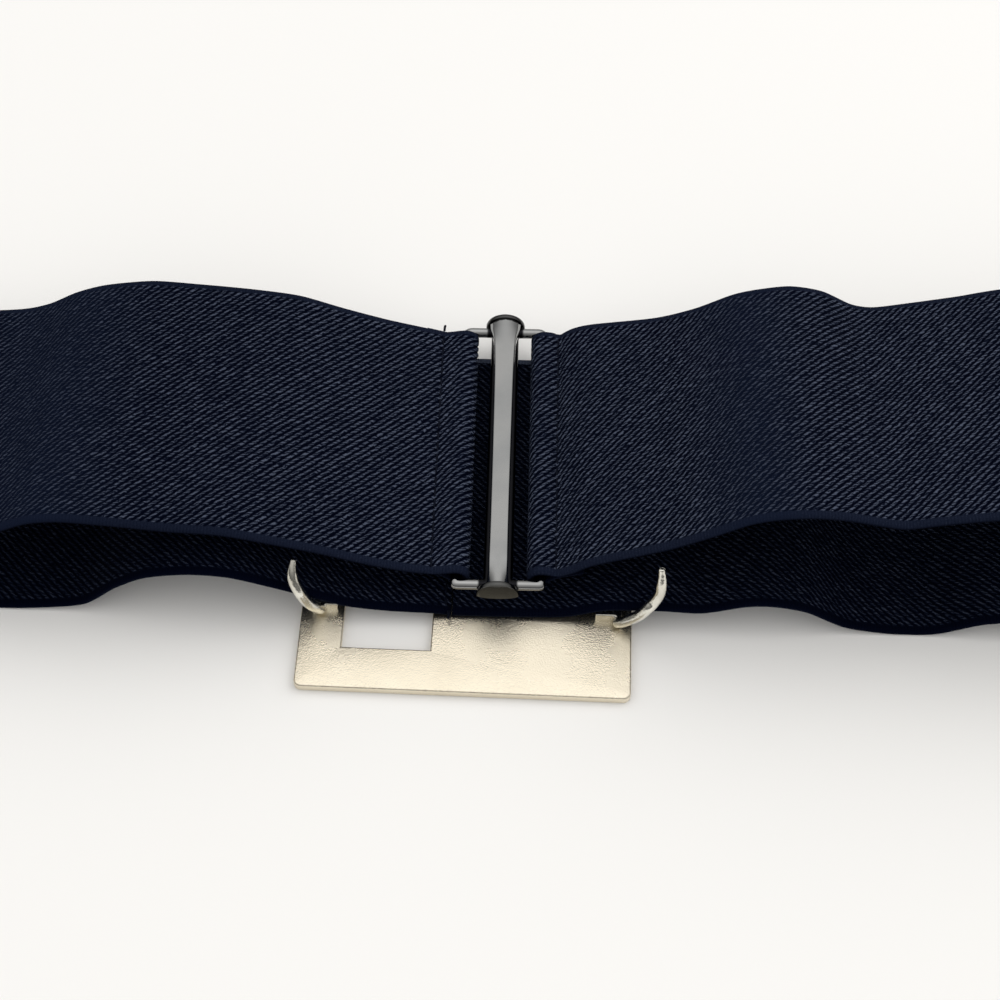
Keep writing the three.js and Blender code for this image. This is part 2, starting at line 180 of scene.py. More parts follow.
# %% Helpers for meshes
def mesh_object(name, vertices, faces):
    """A mesh object at the origin, with its place in its mesh."""
    mesh = bpy.data.meshes.new(name)
    mesh.from_pydata([tuple(point) for point in vertices], [], faces)
    mesh.update()
    piece = bpy.data.objects.new(name, mesh)
    bpy.context.scene.collection.objects.link(piece)
    return piece


def object_from(name, mesh):
    """The same for a mesh that is still being edited, which is freed."""
    data = bpy.data.meshes.new(name)
    mesh.to_mesh(data)
    mesh.free()
    piece = bpy.data.objects.new(name, data)
    bpy.context.scene.collection.objects.link(piece)
    return piece


def smooth_shaded(piece):
    piece.data.polygons.foreach_set("use_smooth", [True] * len(piece.data.polygons))
    piece.data.update()
    return piece


def ring_faces(rings, sides, closed):
    """Quads between rings of points; closed joins the last ring to the first."""
    faces = []
    for ring in range(rings if closed else rings - 1):
        start, following = ring * sides, ((ring + 1) % rings) * sides
        for index in range(sides):
            after = (index + 1) % sides
            faces.append((start + index, start + after, following + after, following + index))
    return faces


def capped_rings(name, points, rings, sides):
    """A closed mesh object through rings of points, with a flat cap at each end."""
    faces = ring_faces(rings, sides, False)
    faces.append(tuple(range(sides)))
    faces.append(tuple(range((rings - 1) * sides, rings * sides)))
    return mesh_object(name, points, faces)


MERGE_REACH = 1e-7


def outward(piece):
    """Merges doubles and turns all faces of a closed piece outwards."""
    mesh = bmesh.new()
    mesh.from_mesh(piece.data)
    bmesh.ops.remove_doubles(mesh, verts=mesh.verts, dist=MERGE_REACH)
    bmesh.ops.recalc_face_normals(mesh, faces=mesh.faces)
    mesh.to_mesh(piece.data)
    mesh.free()
    return smooth_shaded(piece)


# %% [markdown]
# ## The table
# The belt lies on a plain white table. One large flat sheet does for it, because the photograph shows
# no edge of the table. Its paint is pale and dull, so that it takes the belt's soft shadow.

# %% Lay the table
TABLE_HALF = 1.5
TABLE_COLOUR = (0.87, 0.86, 0.842, 1)
table_corners = [(x * TABLE_HALF, y * TABLE_HALF, 0) for x, y in ((-1, -1), (1, -1), (1, 1), (-1, 1))]
table = mesh_object("table", table_corners, [(0, 1, 2, 3)])
table_paint, _ = paint("table_white", Roughness=0.55, Base_Color=TABLE_COLOUR)
table.data.materials.append(table_paint)
print("table", 2 * TABLE_HALF, "m wide")

# %% [markdown]
# ## The light
# The room is bright all round, and one wide window behind and to the right throws the soft shadow in
# front of the belt. Lamps alone would leave hard white spots in the polished metal. So the room is a
# world whose brightness follows the height of the direction, and it has two gradients: a gentle one
# lights what is dull, and a stronger one, dark near the table and to the front, is what metal
# mirrors. Metal doesn't mirror the window's lamp, and the camera sees an even pale backdrop. The
# Standard view keeps a white table white.

# %% Hang the window's light
LAMP_PLACE = (1.2, 0.75, 1.15)
LAMP_SIZE = 1.8
LAMP_POWER = 11
LAMP_COLOUR = (1, 0.99, 0.97)

window_data = bpy.data.lights.new("window_light", "AREA")
window_data.size = LAMP_SIZE
window_data.energy = LAMP_POWER
window_data.color = LAMP_COLOUR
window_light = bpy.data.objects.new("window_light", window_data)
window_light.location = LAMP_PLACE
window_light.rotation_euler = (CAMERA_TARGET - Vector(LAMP_PLACE)).to_track_quat("-Z", "Y").to_euler()
window_light.visible_glossy = False
bpy.context.scene.collection.objects.link(window_light)
print("window light", LAMP_SIZE, "m wide,", LAMP_POWER, "W")

# %% Light the room
ROOM_COLOUR = (1.0, 0.995, 0.985, 1)
BACKDROP = 0.97
# Levels by height of direction, from the horizon at 0 to straight up at 1
SOFT_LEVELS = [(0.0, 0.65), (0.35, 0.9), (0.82, 1.0), (1.0, 1.1)]
MIRROR_LEVELS = [(0.0, 0.12), (0.35, 0.42), (0.68, 0.95), (0.82, 1.08), (1.0, 1.5)]
MIRROR_FRONT = 0.5
FRONT_FROM = -0.55
FRONT_TO = 0.25


def shine_world():
    """A world that lights dull things, metal and the camera's backdrop each in its own way."""
    world = bpy.data.worlds.new("room")
    world.use_nodes = True
    tree = world.node_tree
    background = tree.nodes["Background"]
    background.inputs["Color"].default_value = ROOM_COLOUR
    direction = split(tree, wire_up(tree, "ShaderNodeTexCoord").node.outputs["Generated"])
    soft = colour_ramp(tree, direction["Z"], SOFT_LEVELS)
    front_inputs = [direction["Y"], FRONT_FROM, FRONT_TO, MIRROR_FRONT, 1.0]
    front = wire_up(tree, "ShaderNodeMapRange", inputs=front_inputs)
    mirrored = math_node(tree, "MULTIPLY", colour_ramp(tree, direction["Z"], MIRROR_LEVELS), front)
    rays = wire_up(tree, "ShaderNodeLightPath").node.outputs
    glow = mixed(tree, rays["Is Glossy Ray"], soft, mirrored)
    shown = mixed(tree, rays["Is Camera Ray"], glow, BACKDROP)
    tree.links.new(shown, background.inputs["Strength"])
    bpy.context.scene.world = world


shine_world()
bpy.context.scene.view_settings.view_transform = "Standard"
print("room with", len(MIRROR_LEVELS), "mirror levels")

# %% [markdown]
# ## The path of the elastic
# Each half of the belt is one length of woven elastic. It starts with a short tail under the strap,
# turns round the clasp's wire, runs out over its humps, turns at the end of the loop and comes back
# underneath to the seam. The humps are the same as in the model: short tables give the height of the
# near and the far edge in shares of the highest crest, and a smooth curve is drawn through them.
# A finer curve than the model's own keeps the cloth free of flat steps.

# %% Sizes of the elastic
BAND_WIDTH = 60
BAND_THICK = 1.3
SELVEDGE_WIDTH = 1.4
LOOP_REACH = 155
UPPER_RISE = 21
LOWER_RISE = 13
UPPER_SHIFT = 4.3
SHIFT_FROM = 0.6
LOWER_TURN = math.radians(0.6)
SEAM_PLACE = -8.6
PIECE_GAP = 0.3
FOLD_EDGE = 5.3
FOLD_TO_STITCH = 6.3
TAIL_PAST_STITCH = 4.3
TAIL_RISE = 1
TAIL_TUCK = {"left": 2, "right": 1.6}
WIRE_DIAMETER = 2
CLASP_LIFT = 1.5
CLASP_TILT = math.radians(2.3)
PLATE_THICK = 1.8
PLATE_PLACE = -5.8
PLATE_INSET = 1.6
SEAM_FLARE = 1.4
STITCH_SHIFT = {"left": 0.9, "right": -0.9}
FLARE_FROM = 9
FLARE_TO = 17

half_band = BAND_WIDTH / 2
wire_radius = WIRE_DIAMETER / 2
fold_radius = wire_radius + PIECE_GAP + BAND_THICK / 2
wire_offset = FOLD_EDGE + BAND_THICK / 2 + fold_radius
stitch_offset = FOLD_EDGE + FOLD_TO_STITCH
tail_offset = stitch_offset + TAIL_PAST_STITCH
stitch_rise = TAIL_RISE * FOLD_TO_STITCH / (FOLD_TO_STITCH + TAIL_PAST_STITCH)
ply_offset = (BAND_THICK + PIECE_GAP) / 2
over_plate = PLATE_THICK + PIECE_GAP
clasp_height = over_plate + BAND_THICK + CLASP_LIFT + fold_radius + BAND_THICK / 2
plate_middle = PLATE_INSET - half_band
to_row = np.array([-PLATE_PLACE, -plate_middle, 0])

# Upper run, outwards from the clasp: along, near edge, far edge
UPPER_ROWS = {
    "left": [
        (0.105, 0.055, 0.085), (0.155, 0.16, 0.2), (0.21, 0.315, 0.355), (0.265, 0.445, 0.525),
        (0.325, 0.57, 0.605), (0.39, 0.615, 0.66), (0.45, 0.68, 0.695), (0.51, 0.73, 0.625),
        (0.55, 0.69, 0.51), (0.59, 0.545, 0.335), (0.635, 0.4, 0.245), (0.75, 0.28, 0.23),
        (0.89, 0.38, 0.375),
    ],
    "right": [
        (0.09, 0.09, 0.12), (0.115, 0.225, 0.185), (0.195, 0.475, 0.295), (0.245, 0.685, 0.445),
        (0.29, 0.9, 0.65), (0.32, 0.975, 0.73), (0.36, 1.01, 0.785), (0.4, 0.985, 0.725),
        (0.44, 0.915, 0.545), (0.47, 0.88, 0.505), (0.515, 0.96, 0.575), (0.57, 1.035, 0.675),
        (0.645, 1.09, 0.825), (0.78, 1.0, 0.9), (0.89, 0.9, 0.95),
    ],
}
# Lower run, outwards from the seam: along, share of the plate below, near edge, far edge
LOWER_ROWS = {
    "left": [
        (0.08, 1, 0.04, 0), (0.13, 1, 0.065, 0.02), (0.18, 1, 0.155, 0.065), (0.215, 1, 0.325, 0.175),
        (0.27, 0.5, 0.69, 0.45), (0.32, 0, 0.99, 0.68), (0.37, 0, 1.03, 0.7), (0.42, 0, 0.91, 0.565),
        (0.46, 0, 0.61, 0.35), (0.5, 0, 0.18, 0.12), (0.545, 0, 0.055, 0.02), (0.61, 0, 0, 0),
        (0.77, 0, 0, 0), (0.89, 0, 0, 0),
    ],
    "right": [
        (0, 1, 0, 0), (0.08, 1, 0.045, 0), (0.13, 1, 0.25, 0.065), (0.195, 1, 0.275, 0.12),
        (0.245, 0.6, 0.315, 0.2), (0.295, 0, 0.61, 0.37), (0.33, 0, 0.635, 0.41), (0.37, 0, 0.51, 0.33),
        (0.42, 0, 0.135, 0.12), (0.48, 0, 0, 0), (0.53, 0, 0.04, 0.01), (0.585, 0, 0.34, 0.14),
        (0.66, 0, 0.41, 0.18), (0.77, 0, 0.1, 0.04), (0.89, 0, 0, 0),
    ],
}

# %% [markdown]
# ### Smooth curves
# Both the cloth's edges and the bent wires are smooth lines through a few known points. Blender's own
# curves could draw them, but the points are needed as numbers for the sheets, the stitches and the
# hooks, so a short function works them out: a cubic between neighbouring points, with a chosen tension.

# %% Draw a smooth curve
PATH_TENSION = 0.4
PATH_STEPS = 14


def smoothstep(value, low, high):
    share = np.clip((value - low) / (high - low), 0, 1)
    return share * share * (3 - 2 * share)


def curve_through(points, steps, tension):
    """A smooth curve through the points, with so many steps between neighbours."""
    points = np.array(points, float)
    ends = np.vstack([2 * points[0] - points[1], points, 2 * points[-1] - points[-2]])
    share = np.linspace(0, 1, steps, endpoint=False)[:, None]
    found = []
    for index in range(1, len(ends) - 2):
        start, stop = ends[index], ends[index + 1]
        leaving = tension * (stop - ends[index - 1])
        arriving = tension * (ends[index + 2] - start)
        found.append(
            start + leaving * share
            + (3 * (stop - start) - 2 * leaving - arriving) * share**2
            + (2 * (start - stop) + leaving + arriving) * share**3
        )
    found.append(points[-1:])
    return np.vstack(found)


# %% [markdown]
# ### The strap's end
# Each strap is turned back round the clasp's wire and sewn down. Seen from the side, its edge is a
# short tail, an arc round the wire and the stretch above, and each is laid out by its own rule. The
# near edge lies a little higher than the far one, because the clasp is tilted.

# %% Fold the strap round the wire
FOLD_STEPS = 30
EASE_STEPS = 10
TAIL_STEPS = 8


def edge_place(side, edge, offset, height, is_upper):
    """A place on one edge of the band: edge is -1 for the near one and 1 for the far one."""
    half = smoothstep(offset / LOOP_REACH, SHIFT_FROM, 1) / 2
    back = UPPER_SHIFT * ((1 - half) if is_upper else half)
    turned = 0 if is_upper else -side * offset * math.tan(LOWER_TURN)
    return np.array([side * offset, edge * half_band + back + turned, height])


def wire_height(edge):
    return clasp_height - edge * half_band * math.tan(CLASP_TILT)


def end_share(offset):
    return max(offset - FOLD_EDGE, 0) / (tail_offset - FOLD_EDGE)


def fold_stations(side, edge, name):
    """The strap's end: its tail, the fold round the wire and the stitched stretch above."""
    height = wire_height(edge)

    def tail_place(offset, drop):
        place = edge_place(side, edge, offset, height + TAIL_RISE * end_share(offset) - drop, True)
        place[1] += TAIL_TUCK[name] * end_share(offset)
        return place

    tail = np.linspace(tail_offset, stitch_offset, TAIL_STEPS)
    stations = [tail_place(offset, ply_offset) for offset in tail]
    shares = np.linspace(0, 1, EASE_STEPS + 1)[1:-1]
    offsets = stitch_offset + (wire_offset - stitch_offset) * shares
    from_ply = smoothstep(shares, 0, 1)
    drops = ply_offset + (fold_radius - ply_offset) * from_ply
    stations += [tail_place(offset, drop) for offset, drop in zip(offsets, drops)]
    for angle in np.linspace(-0.5 * math.pi, -1.5 * math.pi, FOLD_STEPS + 1):
        offset = wire_offset + fold_radius * math.cos(angle)
        rise = fold_radius * math.sin(angle)
        stations.append(edge_place(side, edge, offset, height + rise, True))
    for offset, drop, share in zip(offsets[::-1], drops[::-1], from_ply[::-1]):
        stations.append(edge_place(side, edge, offset, height + drop + (1 - share) * stitch_rise, True))
    return stations


# %% [markdown]
# ### The runs and the turn
# From the strap the edge follows the upper humps, goes round the end of the loop in an arc and comes
# back along the lower humps to the seam. There the sewing spreads the cloth, so its far edge flares
# out by a millimetre or so. The cloth can't sink into the table, so its height has a floor.

# %% Lay out the rest of each edge
TURN_ANGLES = (45, 0, -45)


def run_stations(side, edge, name):
    """The rest of one edge: upper run, end turn and lower run as far as the seam."""
    column = 0 if edge < 0 else 1
    strap = wire_height(edge) + ply_offset
    points = [edge_place(side, edge, stitch_offset, strap + stitch_rise, True)]
    for along, *rises in UPPER_ROWS[name]:
        points.append(edge_place(side, edge, along * LOOP_REACH, strap + rises[column] * UPPER_RISE, True))
    lower = []
    for along, on_plate, *rises in LOWER_ROWS[name]:
        height = BAND_THICK / 2 + on_plate * over_plate + rises[column] * LOWER_RISE
        lower.append(edge_place(side, edge, along * LOOP_REACH, height, False))
    lower.reverse()
    top, bottom = points[-1], lower[0]
    middle = (top + bottom) / 2
    depth = (top[2] - bottom[2]) / 2
    length = LOOP_REACH - abs(middle[0]) - BAND_THICK / 2
    for angle in TURN_ANGLES:
        share = (90 - angle) / 180
        turn = math.radians(angle)
        points.append(np.array([
            middle[0] + side * length * math.cos(turn),
            top[1] + (bottom[1] - top[1]) * share,
            middle[2] + depth * math.sin(turn),
        ]))
    points += lower
    seam = edge_place(side, edge, side * SEAM_PLACE + PIECE_GAP / 2, BAND_THICK / 2 + over_plate, False)
    stations = curve_through(points + [seam], PATH_STEPS, PATH_TENSION)
    stations[:, 2] = np.maximum(stations[:, 2], BAND_THICK / 2)
    if edge > 0:
        near_seam = smoothstep(np.abs(stations[:, 0]), FLARE_TO, FLARE_FROM)
        stations[:, 1] += SEAM_FLARE * near_seam * (stations[:, 2] < over_plate + BAND_THICK)
    return stations


# %% [markdown]
# ### Places on the cloth
# The two edges span the cloth. Any flat place on it, so far along and so far across, then has a place
# in space, and a normal to step off from. This one rule bends the woven sheet, sets the stitches on
# it and gives the sheet's flat length.

# %% Find places on the cloth
SAME_PLACE = 1e-6
SLOPE_REACH = 0.25


class BandPath:
    """The two edges of one length of elastic, and places on the cloth between them."""

    def __init__(self, side, name):
        self.side = side
        folds = [fold_stations(side, edge, name) for edge in (-1, 1)]
        runs = [run_stations(side, edge, name) for edge in (-1, 1)]
        near, far = (np.vstack([fold, run]) for fold, run in zip(folds, runs))
        steps = np.linalg.norm(np.diff((near + far) / 2, axis=0), axis=1)
        apart = steps > SAME_PLACE
        kept = np.concatenate([[True], apart])
        self.near, self.far = near[kept] + to_row, far[kept] + to_row
        self.along = np.concatenate([[0], np.cumsum(steps[apart])])
        self.length = self.along[-1]
        self.stitch = self.along[len(folds[0])] + STITCH_SHIFT[name]

    def edge(self, points, along):
        return np.stack([np.interp(along, self.along, points[:, axis]) for axis in range(3)], axis=1)

    def middle(self, along, across):
        share = (across / half_band + 1)[:, None] / 2
        return self.edge(self.near, along) * (1 - share) + self.edge(self.far, along) * share

    def place(self, along, across, height):
        """Where a point of the flat cloth lies once it is bent: height is above the middle of its wall."""
        before = self.middle(np.maximum(along - SLOPE_REACH, 0), across)
        after = self.middle(np.minimum(along + SLOPE_REACH, self.length), across)
        crosswise = self.edge(self.far, along) - self.edge(self.near, along)
        normal = np.cross(after - before, crosswise) * self.side
        normal /= np.linalg.norm(normal, axis=1)[:, None]
        return self.middle(along, across) + normal * height[:, None]

    def frame(self, along, across):
        """The place on the cloth's middle, its outward normal and its crosswise direction."""
        along, across = np.array([along]), np.array([across])
        low, high = (self.place(along, across, np.array([height]))[0] for height in (0, 1))
        crosswise = (self.edge(self.far, along) - self.edge(self.near, along))[0]
        return low, high - low, crosswise / np.linalg.norm(crosswise)


paths = {"left": BandPath(-1, "left"), "right": BandPath(1, "right")}
for name, path in paths.items():
    print(name, "elastic", BAND_WIDTH, "mm wide and", round(path.length, 1), "mm long when laid flat")

# %% [markdown]
# ## The woven bands
# Belt elastic is a heavy twill: rounded diagonal ridges about a millimetre apart, a smooth rolled
# selvedge along each edge, and the same diagonal on both faces. A flat grid with a picture of the
# weave would look painted, so the ridges are real relief. The cloth is first laid out flat as a grid
# whose lines run along the ridges, because then a few points across each ridge are enough. Its ends
# are cut square, a Geometry Nodes tree raises the ridges by a rule, and the cloth is bent along its
# path. The flat place of each point is kept as a UV map for the weave's finer threads.

# %% Lay the cloth out flat
RIDGE_PITCH = 1.46
RIDGE_LEAN = math.radians(46.5)
RIDGE_SAMPLES = 4
ACROSS_STEPS = 32
SELVEDGE_STEPS = 6
# The stretch of the flat cloth that goes round the wire, where the grid has to be finer
FOLD_ZONE = (TAIL_PAST_STITCH - 1, TAIL_PAST_STITCH + 2 * FOLD_TO_STITCH + 7)
FOLD_CUTS = 3
CUT_WIDTH = 1e-6
NEAR_CUT = 1e-3
FLAT_LAYER = "flat_place"
WEAVE_MAP = "weave"


def band_section():
    """Points round the cloth's section, from the near edge over the outer face and back: across, height."""
    radius = BAND_THICK / 2
    inset = half_band - radius
    outer = [(across, radius) for across in np.linspace(-inset, inset, ACROSS_STEPS + 1)]
    turn = np.linspace(math.pi / 2, -math.pi / 2, SELVEDGE_STEPS + 1)[1:-1]
    far = [(inset + radius * math.cos(angle), radius * math.sin(angle)) for angle in turn]
    inner = [(across, -height) for across, height in reversed(outer)]
    near = [(-across, -height) for across, height in far]
    return outer + far + inner + near


def flat_band(name, side, length):
    """The cloth laid flat as a closed mesh: x is along it, y across it and z through it."""
    section = band_section()
    step = RIDGE_PITCH / RIDGE_SAMPLES
    lean = side / math.tan(RIDGE_LEAN)
    spare = half_band / math.tan(RIDGE_LEAN) + step
    columns = int((length + 2 * spare) / step) + 1
    mesh = bmesh.new()
    rings = []
    for column in range(columns):
        start = column * step - spare
        rings.append([mesh.verts.new((start + lean * across, across, height)) for across, height in section])
    for before, after in zip(rings, rings[1:]):
        for index in range(len(section)):
            following = (index + 1) % len(section)
            mesh.faces.new((before[index], after[index], after[following], before[following]))
    for place, facing in ((0, -1), (length, 1)):
        whole = mesh.verts[:] + mesh.edges[:] + mesh.faces[:]
        bmesh.ops.bisect_plane(
            mesh, geom=whole, dist=CUT_WIDTH,
            plane_co=(place, 0, 0), plane_no=(facing, 0, 0), clear_outer=True,
        )
        open_edges = [edge for edge in mesh.edges if edge.is_boundary]
        rim = [edge for edge in open_edges if abs(edge.verts[0].co.x - place) < NEAR_CUT]
        bmesh.ops.holes_fill(mesh, edges=rim)
    low, high = FOLD_ZONE
    ridge_lines = [
        edge for edge in mesh.edges
        if abs(edge.verts[0].co.y - edge.verts[1].co.y) > BAND_THICK
        and all(low < vertex.co.x < high for vertex in edge.verts)
    ]
    bmesh.ops.subdivide_edges(mesh, edges=ridge_lines, cuts=FOLD_CUTS, use_grid_fill=True)
    bmesh.ops.triangulate(mesh, faces=[face for face in mesh.faces if len(face.verts) > 4])
    bmesh.ops.recalc_face_normals(mesh, faces=mesh.faces)
    return object_from(name, mesh)


# %% [markdown]
# ### The flat place
# Once the sheet is bent, nothing in its shape says where a point lay when it was flat, yet the weave
# follows the flat cloth. So each point keeps its flat place in an attribute, in millimetres, and each
# corner of a face keeps it in a UV map, where one unit is the band's width.

# %% Keep each point's flat place
def read_points(mesh):
    """The vertices of a mesh as an array."""
    values = np.empty(len(mesh.vertices) * 3, np.float32)
    mesh.vertices.foreach_get("co", values)
    return values.reshape(-1, 3).astype(float)


def keep_flat_place(piece, side):
    """Stores the flat place in both: the UV map is mirrored on the left, so the twill leans one way."""
    mesh = piece.data
    flat = read_points(mesh)
    layer = mesh.attributes.new(FLAT_LAYER, "FLOAT_VECTOR", "POINT")
    layer.data.foreach_set("vector", flat.astype(np.float32).ravel())
    corners = np.empty(len(mesh.loops), np.int32)
    mesh.loops.foreach_get("vertex_index", corners)
    places = flat[corners][:, :2] / BAND_WIDTH
    places[:, 1] *= side
    uv = mesh.uv_layers.new(name=WEAVE_MAP)
    uv.data.foreach_set("uv", places.astype(np.float32).ravel())


# %% [markdown]
# ### The ridges
# A ridge comes back every millimetre and a half along the band, so Geometry Nodes raise it. The tree
# reads each point's flat place, finds how far it is from the nearest crest and sinks it along its own
# normal, deepest in the valleys. The ridges fade out at the selvedge, which stays smooth. The result
# is then kept as a plain mesh and the modifier taken away.

# %% Helpers for Geometry Nodes
def new_tree(name, **inputs):
    """A Geometry Nodes tree with a geometry socket and named inputs; returns the tree and its two ends."""
    tree = bpy.data.node_groups.new(name, "GeometryNodeTree")
    tree.interface.new_socket("Geometry", in_out="INPUT", socket_type="NodeSocketGeometry")
    tree.interface.new_socket("Geometry", in_out="OUTPUT", socket_type="NodeSocketGeometry")
    for label, value in inputs.items():
        kinds = {float: "NodeSocketFloat", int: "NodeSocketInt"}
        kind = kinds.get(type(value), "NodeSocketMaterial")
        socket = tree.interface.new_socket(label.replace("_", " "), in_out="INPUT", socket_type=kind)
        if type(value) in kinds:
            socket.default_value = value
    return tree, tree.nodes.new("NodeGroupInput"), tree.nodes.new("NodeGroupOutput")


# %% A tree that raises the twill ridges
RELIEF_DEPTH = 0.26
SELVEDGE_FADE = 0.45


def ridge_tree():
    """Sinks the valleys between the ridges, along each point's own normal."""
    tree, start, end = new_tree(
        "raise_twill_ridges",
        Ridge_pitch=RIDGE_PITCH, Lean=1.0, Relief=RELIEF_DEPTH, Margin=half_band - SELVEDGE_WIDTH,
        Fade=SELVEDGE_FADE, Material=None,
    )
    flat = wire_up(tree, "GeometryNodeInputNamedAttribute", data_type="FLOAT_VECTOR")
    flat.node.inputs["Name"].default_value = FLAT_LAYER
    parts = split(tree, flat)
    leaned = math_node(tree, "MULTIPLY", parts["Y"], start.outputs["Lean"])
    along = math_node(tree, "SUBTRACT", parts["X"], leaned)
    phase = math_node(tree, "FRACT", math_node(tree, "DIVIDE", along, start.outputs["Ridge pitch"]))
    swing = math_node(tree, "MULTIPLY", from_middle(tree, phase), 2.0)
    square = math_node(tree, "POWER", math_node(tree, "ABSOLUTE", swing), 2.0)
    crown = math_node(tree, "SQRT", math_node(tree, "SUBTRACT", 1.0, square))
    sink = math_node(tree, "SUBTRACT", 1.0, crown)
    edge = math_node(tree, "ABSOLUTE", parts["Y"])
    room = math_node(tree, "SUBTRACT", start.outputs["Margin"], edge)
    fade = math_node(tree, "DIVIDE", room, start.outputs["Fade"])
    fade.node.use_clamp = True
    depth = math_node(tree, "MULTIPLY", math_node(tree, "MULTIPLY", sink, fade), start.outputs["Relief"])
    normal = wire_up(tree, "GeometryNodeInputNormal")
    move = wire_up(tree, "ShaderNodeVectorMath", "SCALE", [normal])
    tree.links.new(math_node(tree, "MULTIPLY", depth, -1.0), move.node.inputs["Scale"])
    raised = wire_up(tree, "GeometryNodeSetPosition")
    tree.links.new(start.outputs["Geometry"], raised.node.inputs["Geometry"])
    tree.links.new(move, raised.node.inputs["Offset"])
    realized = wire_up(tree, "GeometryNodeRealizeInstances", inputs=[raised])
    dressed = wire_up(tree, "GeometryNodeSetMaterial", inputs=[realized])
    tree.links.new(start.outputs["Material"], dressed.node.inputs["Material"])
    tree.links.new(dressed, end.inputs[0])
    return tree


def run_tree(piece, tree, **values):
    """Runs a Geometry Nodes tree on a piece and leaves its result as the piece's plain mesh."""
    modifier = piece.modifiers.new(tree.name, "NODES")
    modifier.node_group = tree
    sockets = {item.name: item.identifier for item in tree.interface.items_tree if item.in_out == "INPUT"}
    for label, value in values.items():
        modifier[sockets[label.replace("_", " ")]] = value
    ready = piece.evaluated_get(bpy.context.evaluated_depsgraph_get())
    mesh = bpy.data.meshes.new_from_object(ready)
    piece.modifiers.remove(modifier)
    old = piece.data
    piece.data = mesh
    mesh.name = piece.name
    bpy.data.meshes.remove(old)
    return piece


# %% [markdown]
# ### The elastic's finish
# The yarn is a very dark navy, dull, with a faint fuzz that catches the light. Each ridge is a rope
# of short slanted floats, too fine to model, so they are bump and colour read from the flat UV map,
# and the noise lets them wander as real yarn does. The colour has painted shade in the valleys and a
# painted highlight on the crests, and the smooth selvedge shows the crosswise threads.

# %% Twist the floats of each ridge
FLOAT_LENGTH = 1.25
FLOAT_SLANT = 0.75
FLOAT_WANDER = 2.5
FLOAT_SHARE = 0.8
FLOAT_EDGES = (0.5, 0.12)
FLOAT_CLOUDS = 0.7
RIDGE_WANDER = 0.5
RIDGE_CLOUDS = 0.9
CREST_EDGES = (0.44, 0.12)


def twill_ropes(tree, size):
    """How high a point lies on its rope of floats, and a random number for each float."""
    parts = split(tree, size)
    wander = math_node(tree, "MULTIPLY", from_middle(tree, noise(tree, size, RIDGE_CLOUDS)), RIDGE_WANDER)
    leaned = math_node(tree, "MULTIPLY", parts["Y"], 1 / math.tan(RIDGE_LEAN))
    straight = math_node(tree, "DIVIDE", math_node(tree, "SUBTRACT", parts["X"], leaned), RIDGE_PITCH)
    ridges = math_node(tree, "ADD", straight, wander)
    number = math_node(tree, "FLOOR", ridges)
    from_crest = from_middle(tree, math_node(tree, "FRACT", ridges))
    crest = eased(tree, math_node(tree, "ABSOLUTE", from_crest), *CREST_EDGES)
    rope = math_node(tree, "DIVIDE", parts["Y"], math.sin(RIDGE_LEAN) * FLOAT_LENGTH)
    rope = math_node(tree, "ADD", rope, math_node(tree, "MULTIPLY", from_crest, -FLOAT_SLANT))
    chance = wire_up(tree, "ShaderNodeTexWhiteNoise", noise_dimensions="1D")
    tree.links.new(number, chance.node.inputs["W"])
    rope = math_node(tree, "ADD", rope, chance)
    uneven = math_node(tree, "MULTIPLY", noise(tree, size, FLOAT_CLOUDS), FLOAT_WANDER)
    rope = math_node(tree, "ADD", rope, uneven)
    beat = math_node(tree, "ABSOLUTE", from_middle(tree, math_node(tree, "FRACT", rope)))
    strand = eased(tree, beat, *FLOAT_EDGES)
    float_place = wire_up(tree, "ShaderNodeCombineXYZ", inputs=[number, math_node(tree, "FLOOR", rope)])
    grain = wire_up(tree, "ShaderNodeTexWhiteNoise", inputs=[float_place])
    rounded = math_node(tree, "MULTIPLY_ADD", strand, FLOAT_SHARE, 1 - FLOAT_SHARE)
    return math_node(tree, "MULTIPLY", crest, rounded), grain


# %% Roll the selvedges
TICK_PITCH = 0.6
TICK_SWING = 0.06
SELVEDGE_LEVEL = 0.62
RIM_EDGES = (-0.2, 0.15)


def selvedge_ticks(tree, size):
    """1 on the selvedge and 0 on the twill, and the level of the selvedge's crosswise threads."""
    parts = split(tree, size)
    rim_edges = [half_band - SELVEDGE_WIDTH + edge for edge in RIM_EDGES]
    rim = eased(tree, math_node(tree, "ABSOLUTE", parts["Y"]), *rim_edges)
    tick = math_node(tree, "SINE", math_node(tree, "MULTIPLY", parts["X"], 2 * math.pi / TICK_PITCH))
    return rim, math_node(tree, "MULTIPLY_ADD", tick, TICK_SWING, SELVEDGE_LEVEL)


# %% [markdown]
# ### The elastic's dye and painted light
# One height drives both the bump and the colour: a ramp turns it from nearly black in the valleys,
# which is painted shade, to a grey navy on the crests, which is a painted highlight. Some floats are
# brighter than others. The inner face is darker, with painted shade from the layer above it, and its
# selvedge has painted shade at the near edge and painted light at the far one. The left half is a
# little darker than the right one, which is painted shade, as the light comes from the right. In two
# broad bands, where the cloth turns over a hump, a smooth bluer navy is mixed in as a painted sheen.

# %% Dye the elastic and paint its light and shade
FACE_EDGES = (-0.3, 0.3)
FAR_RIM_LIGHT_EDGES = (-1.0, 1.0)
FLOAT_BRIGHTNESS = (0.3, 0.62)
OUTER_RIM = 0.5
# Painted light and shade on the inner selvedge: its tone runs from the near edge to the far one
INNER_RIM_SHADE_TO_LIGHT = (1.6, 0.25)
FUZZ_TONE = (1.0, 0.5)
FUZZ_SCALE = 3.5
FUZZ_DETAIL = 3.0
FUZZ_HEIGHT = 0.5
WEAVE_BUMP = 0.2 * MM
WEAVE_BUMP_SHARE = 0.9
# Painted shade: the inner face, shaded by the layer above, keeps this share of its brightness
INNER_FACE_SHADE = 0.6
# Painted shade on the left half, as the light comes from the right: where it fades and how much
LEFT_SHADE_EDGES = (-15, -60)
LEFT_PAINTED_SHADE = 0.14
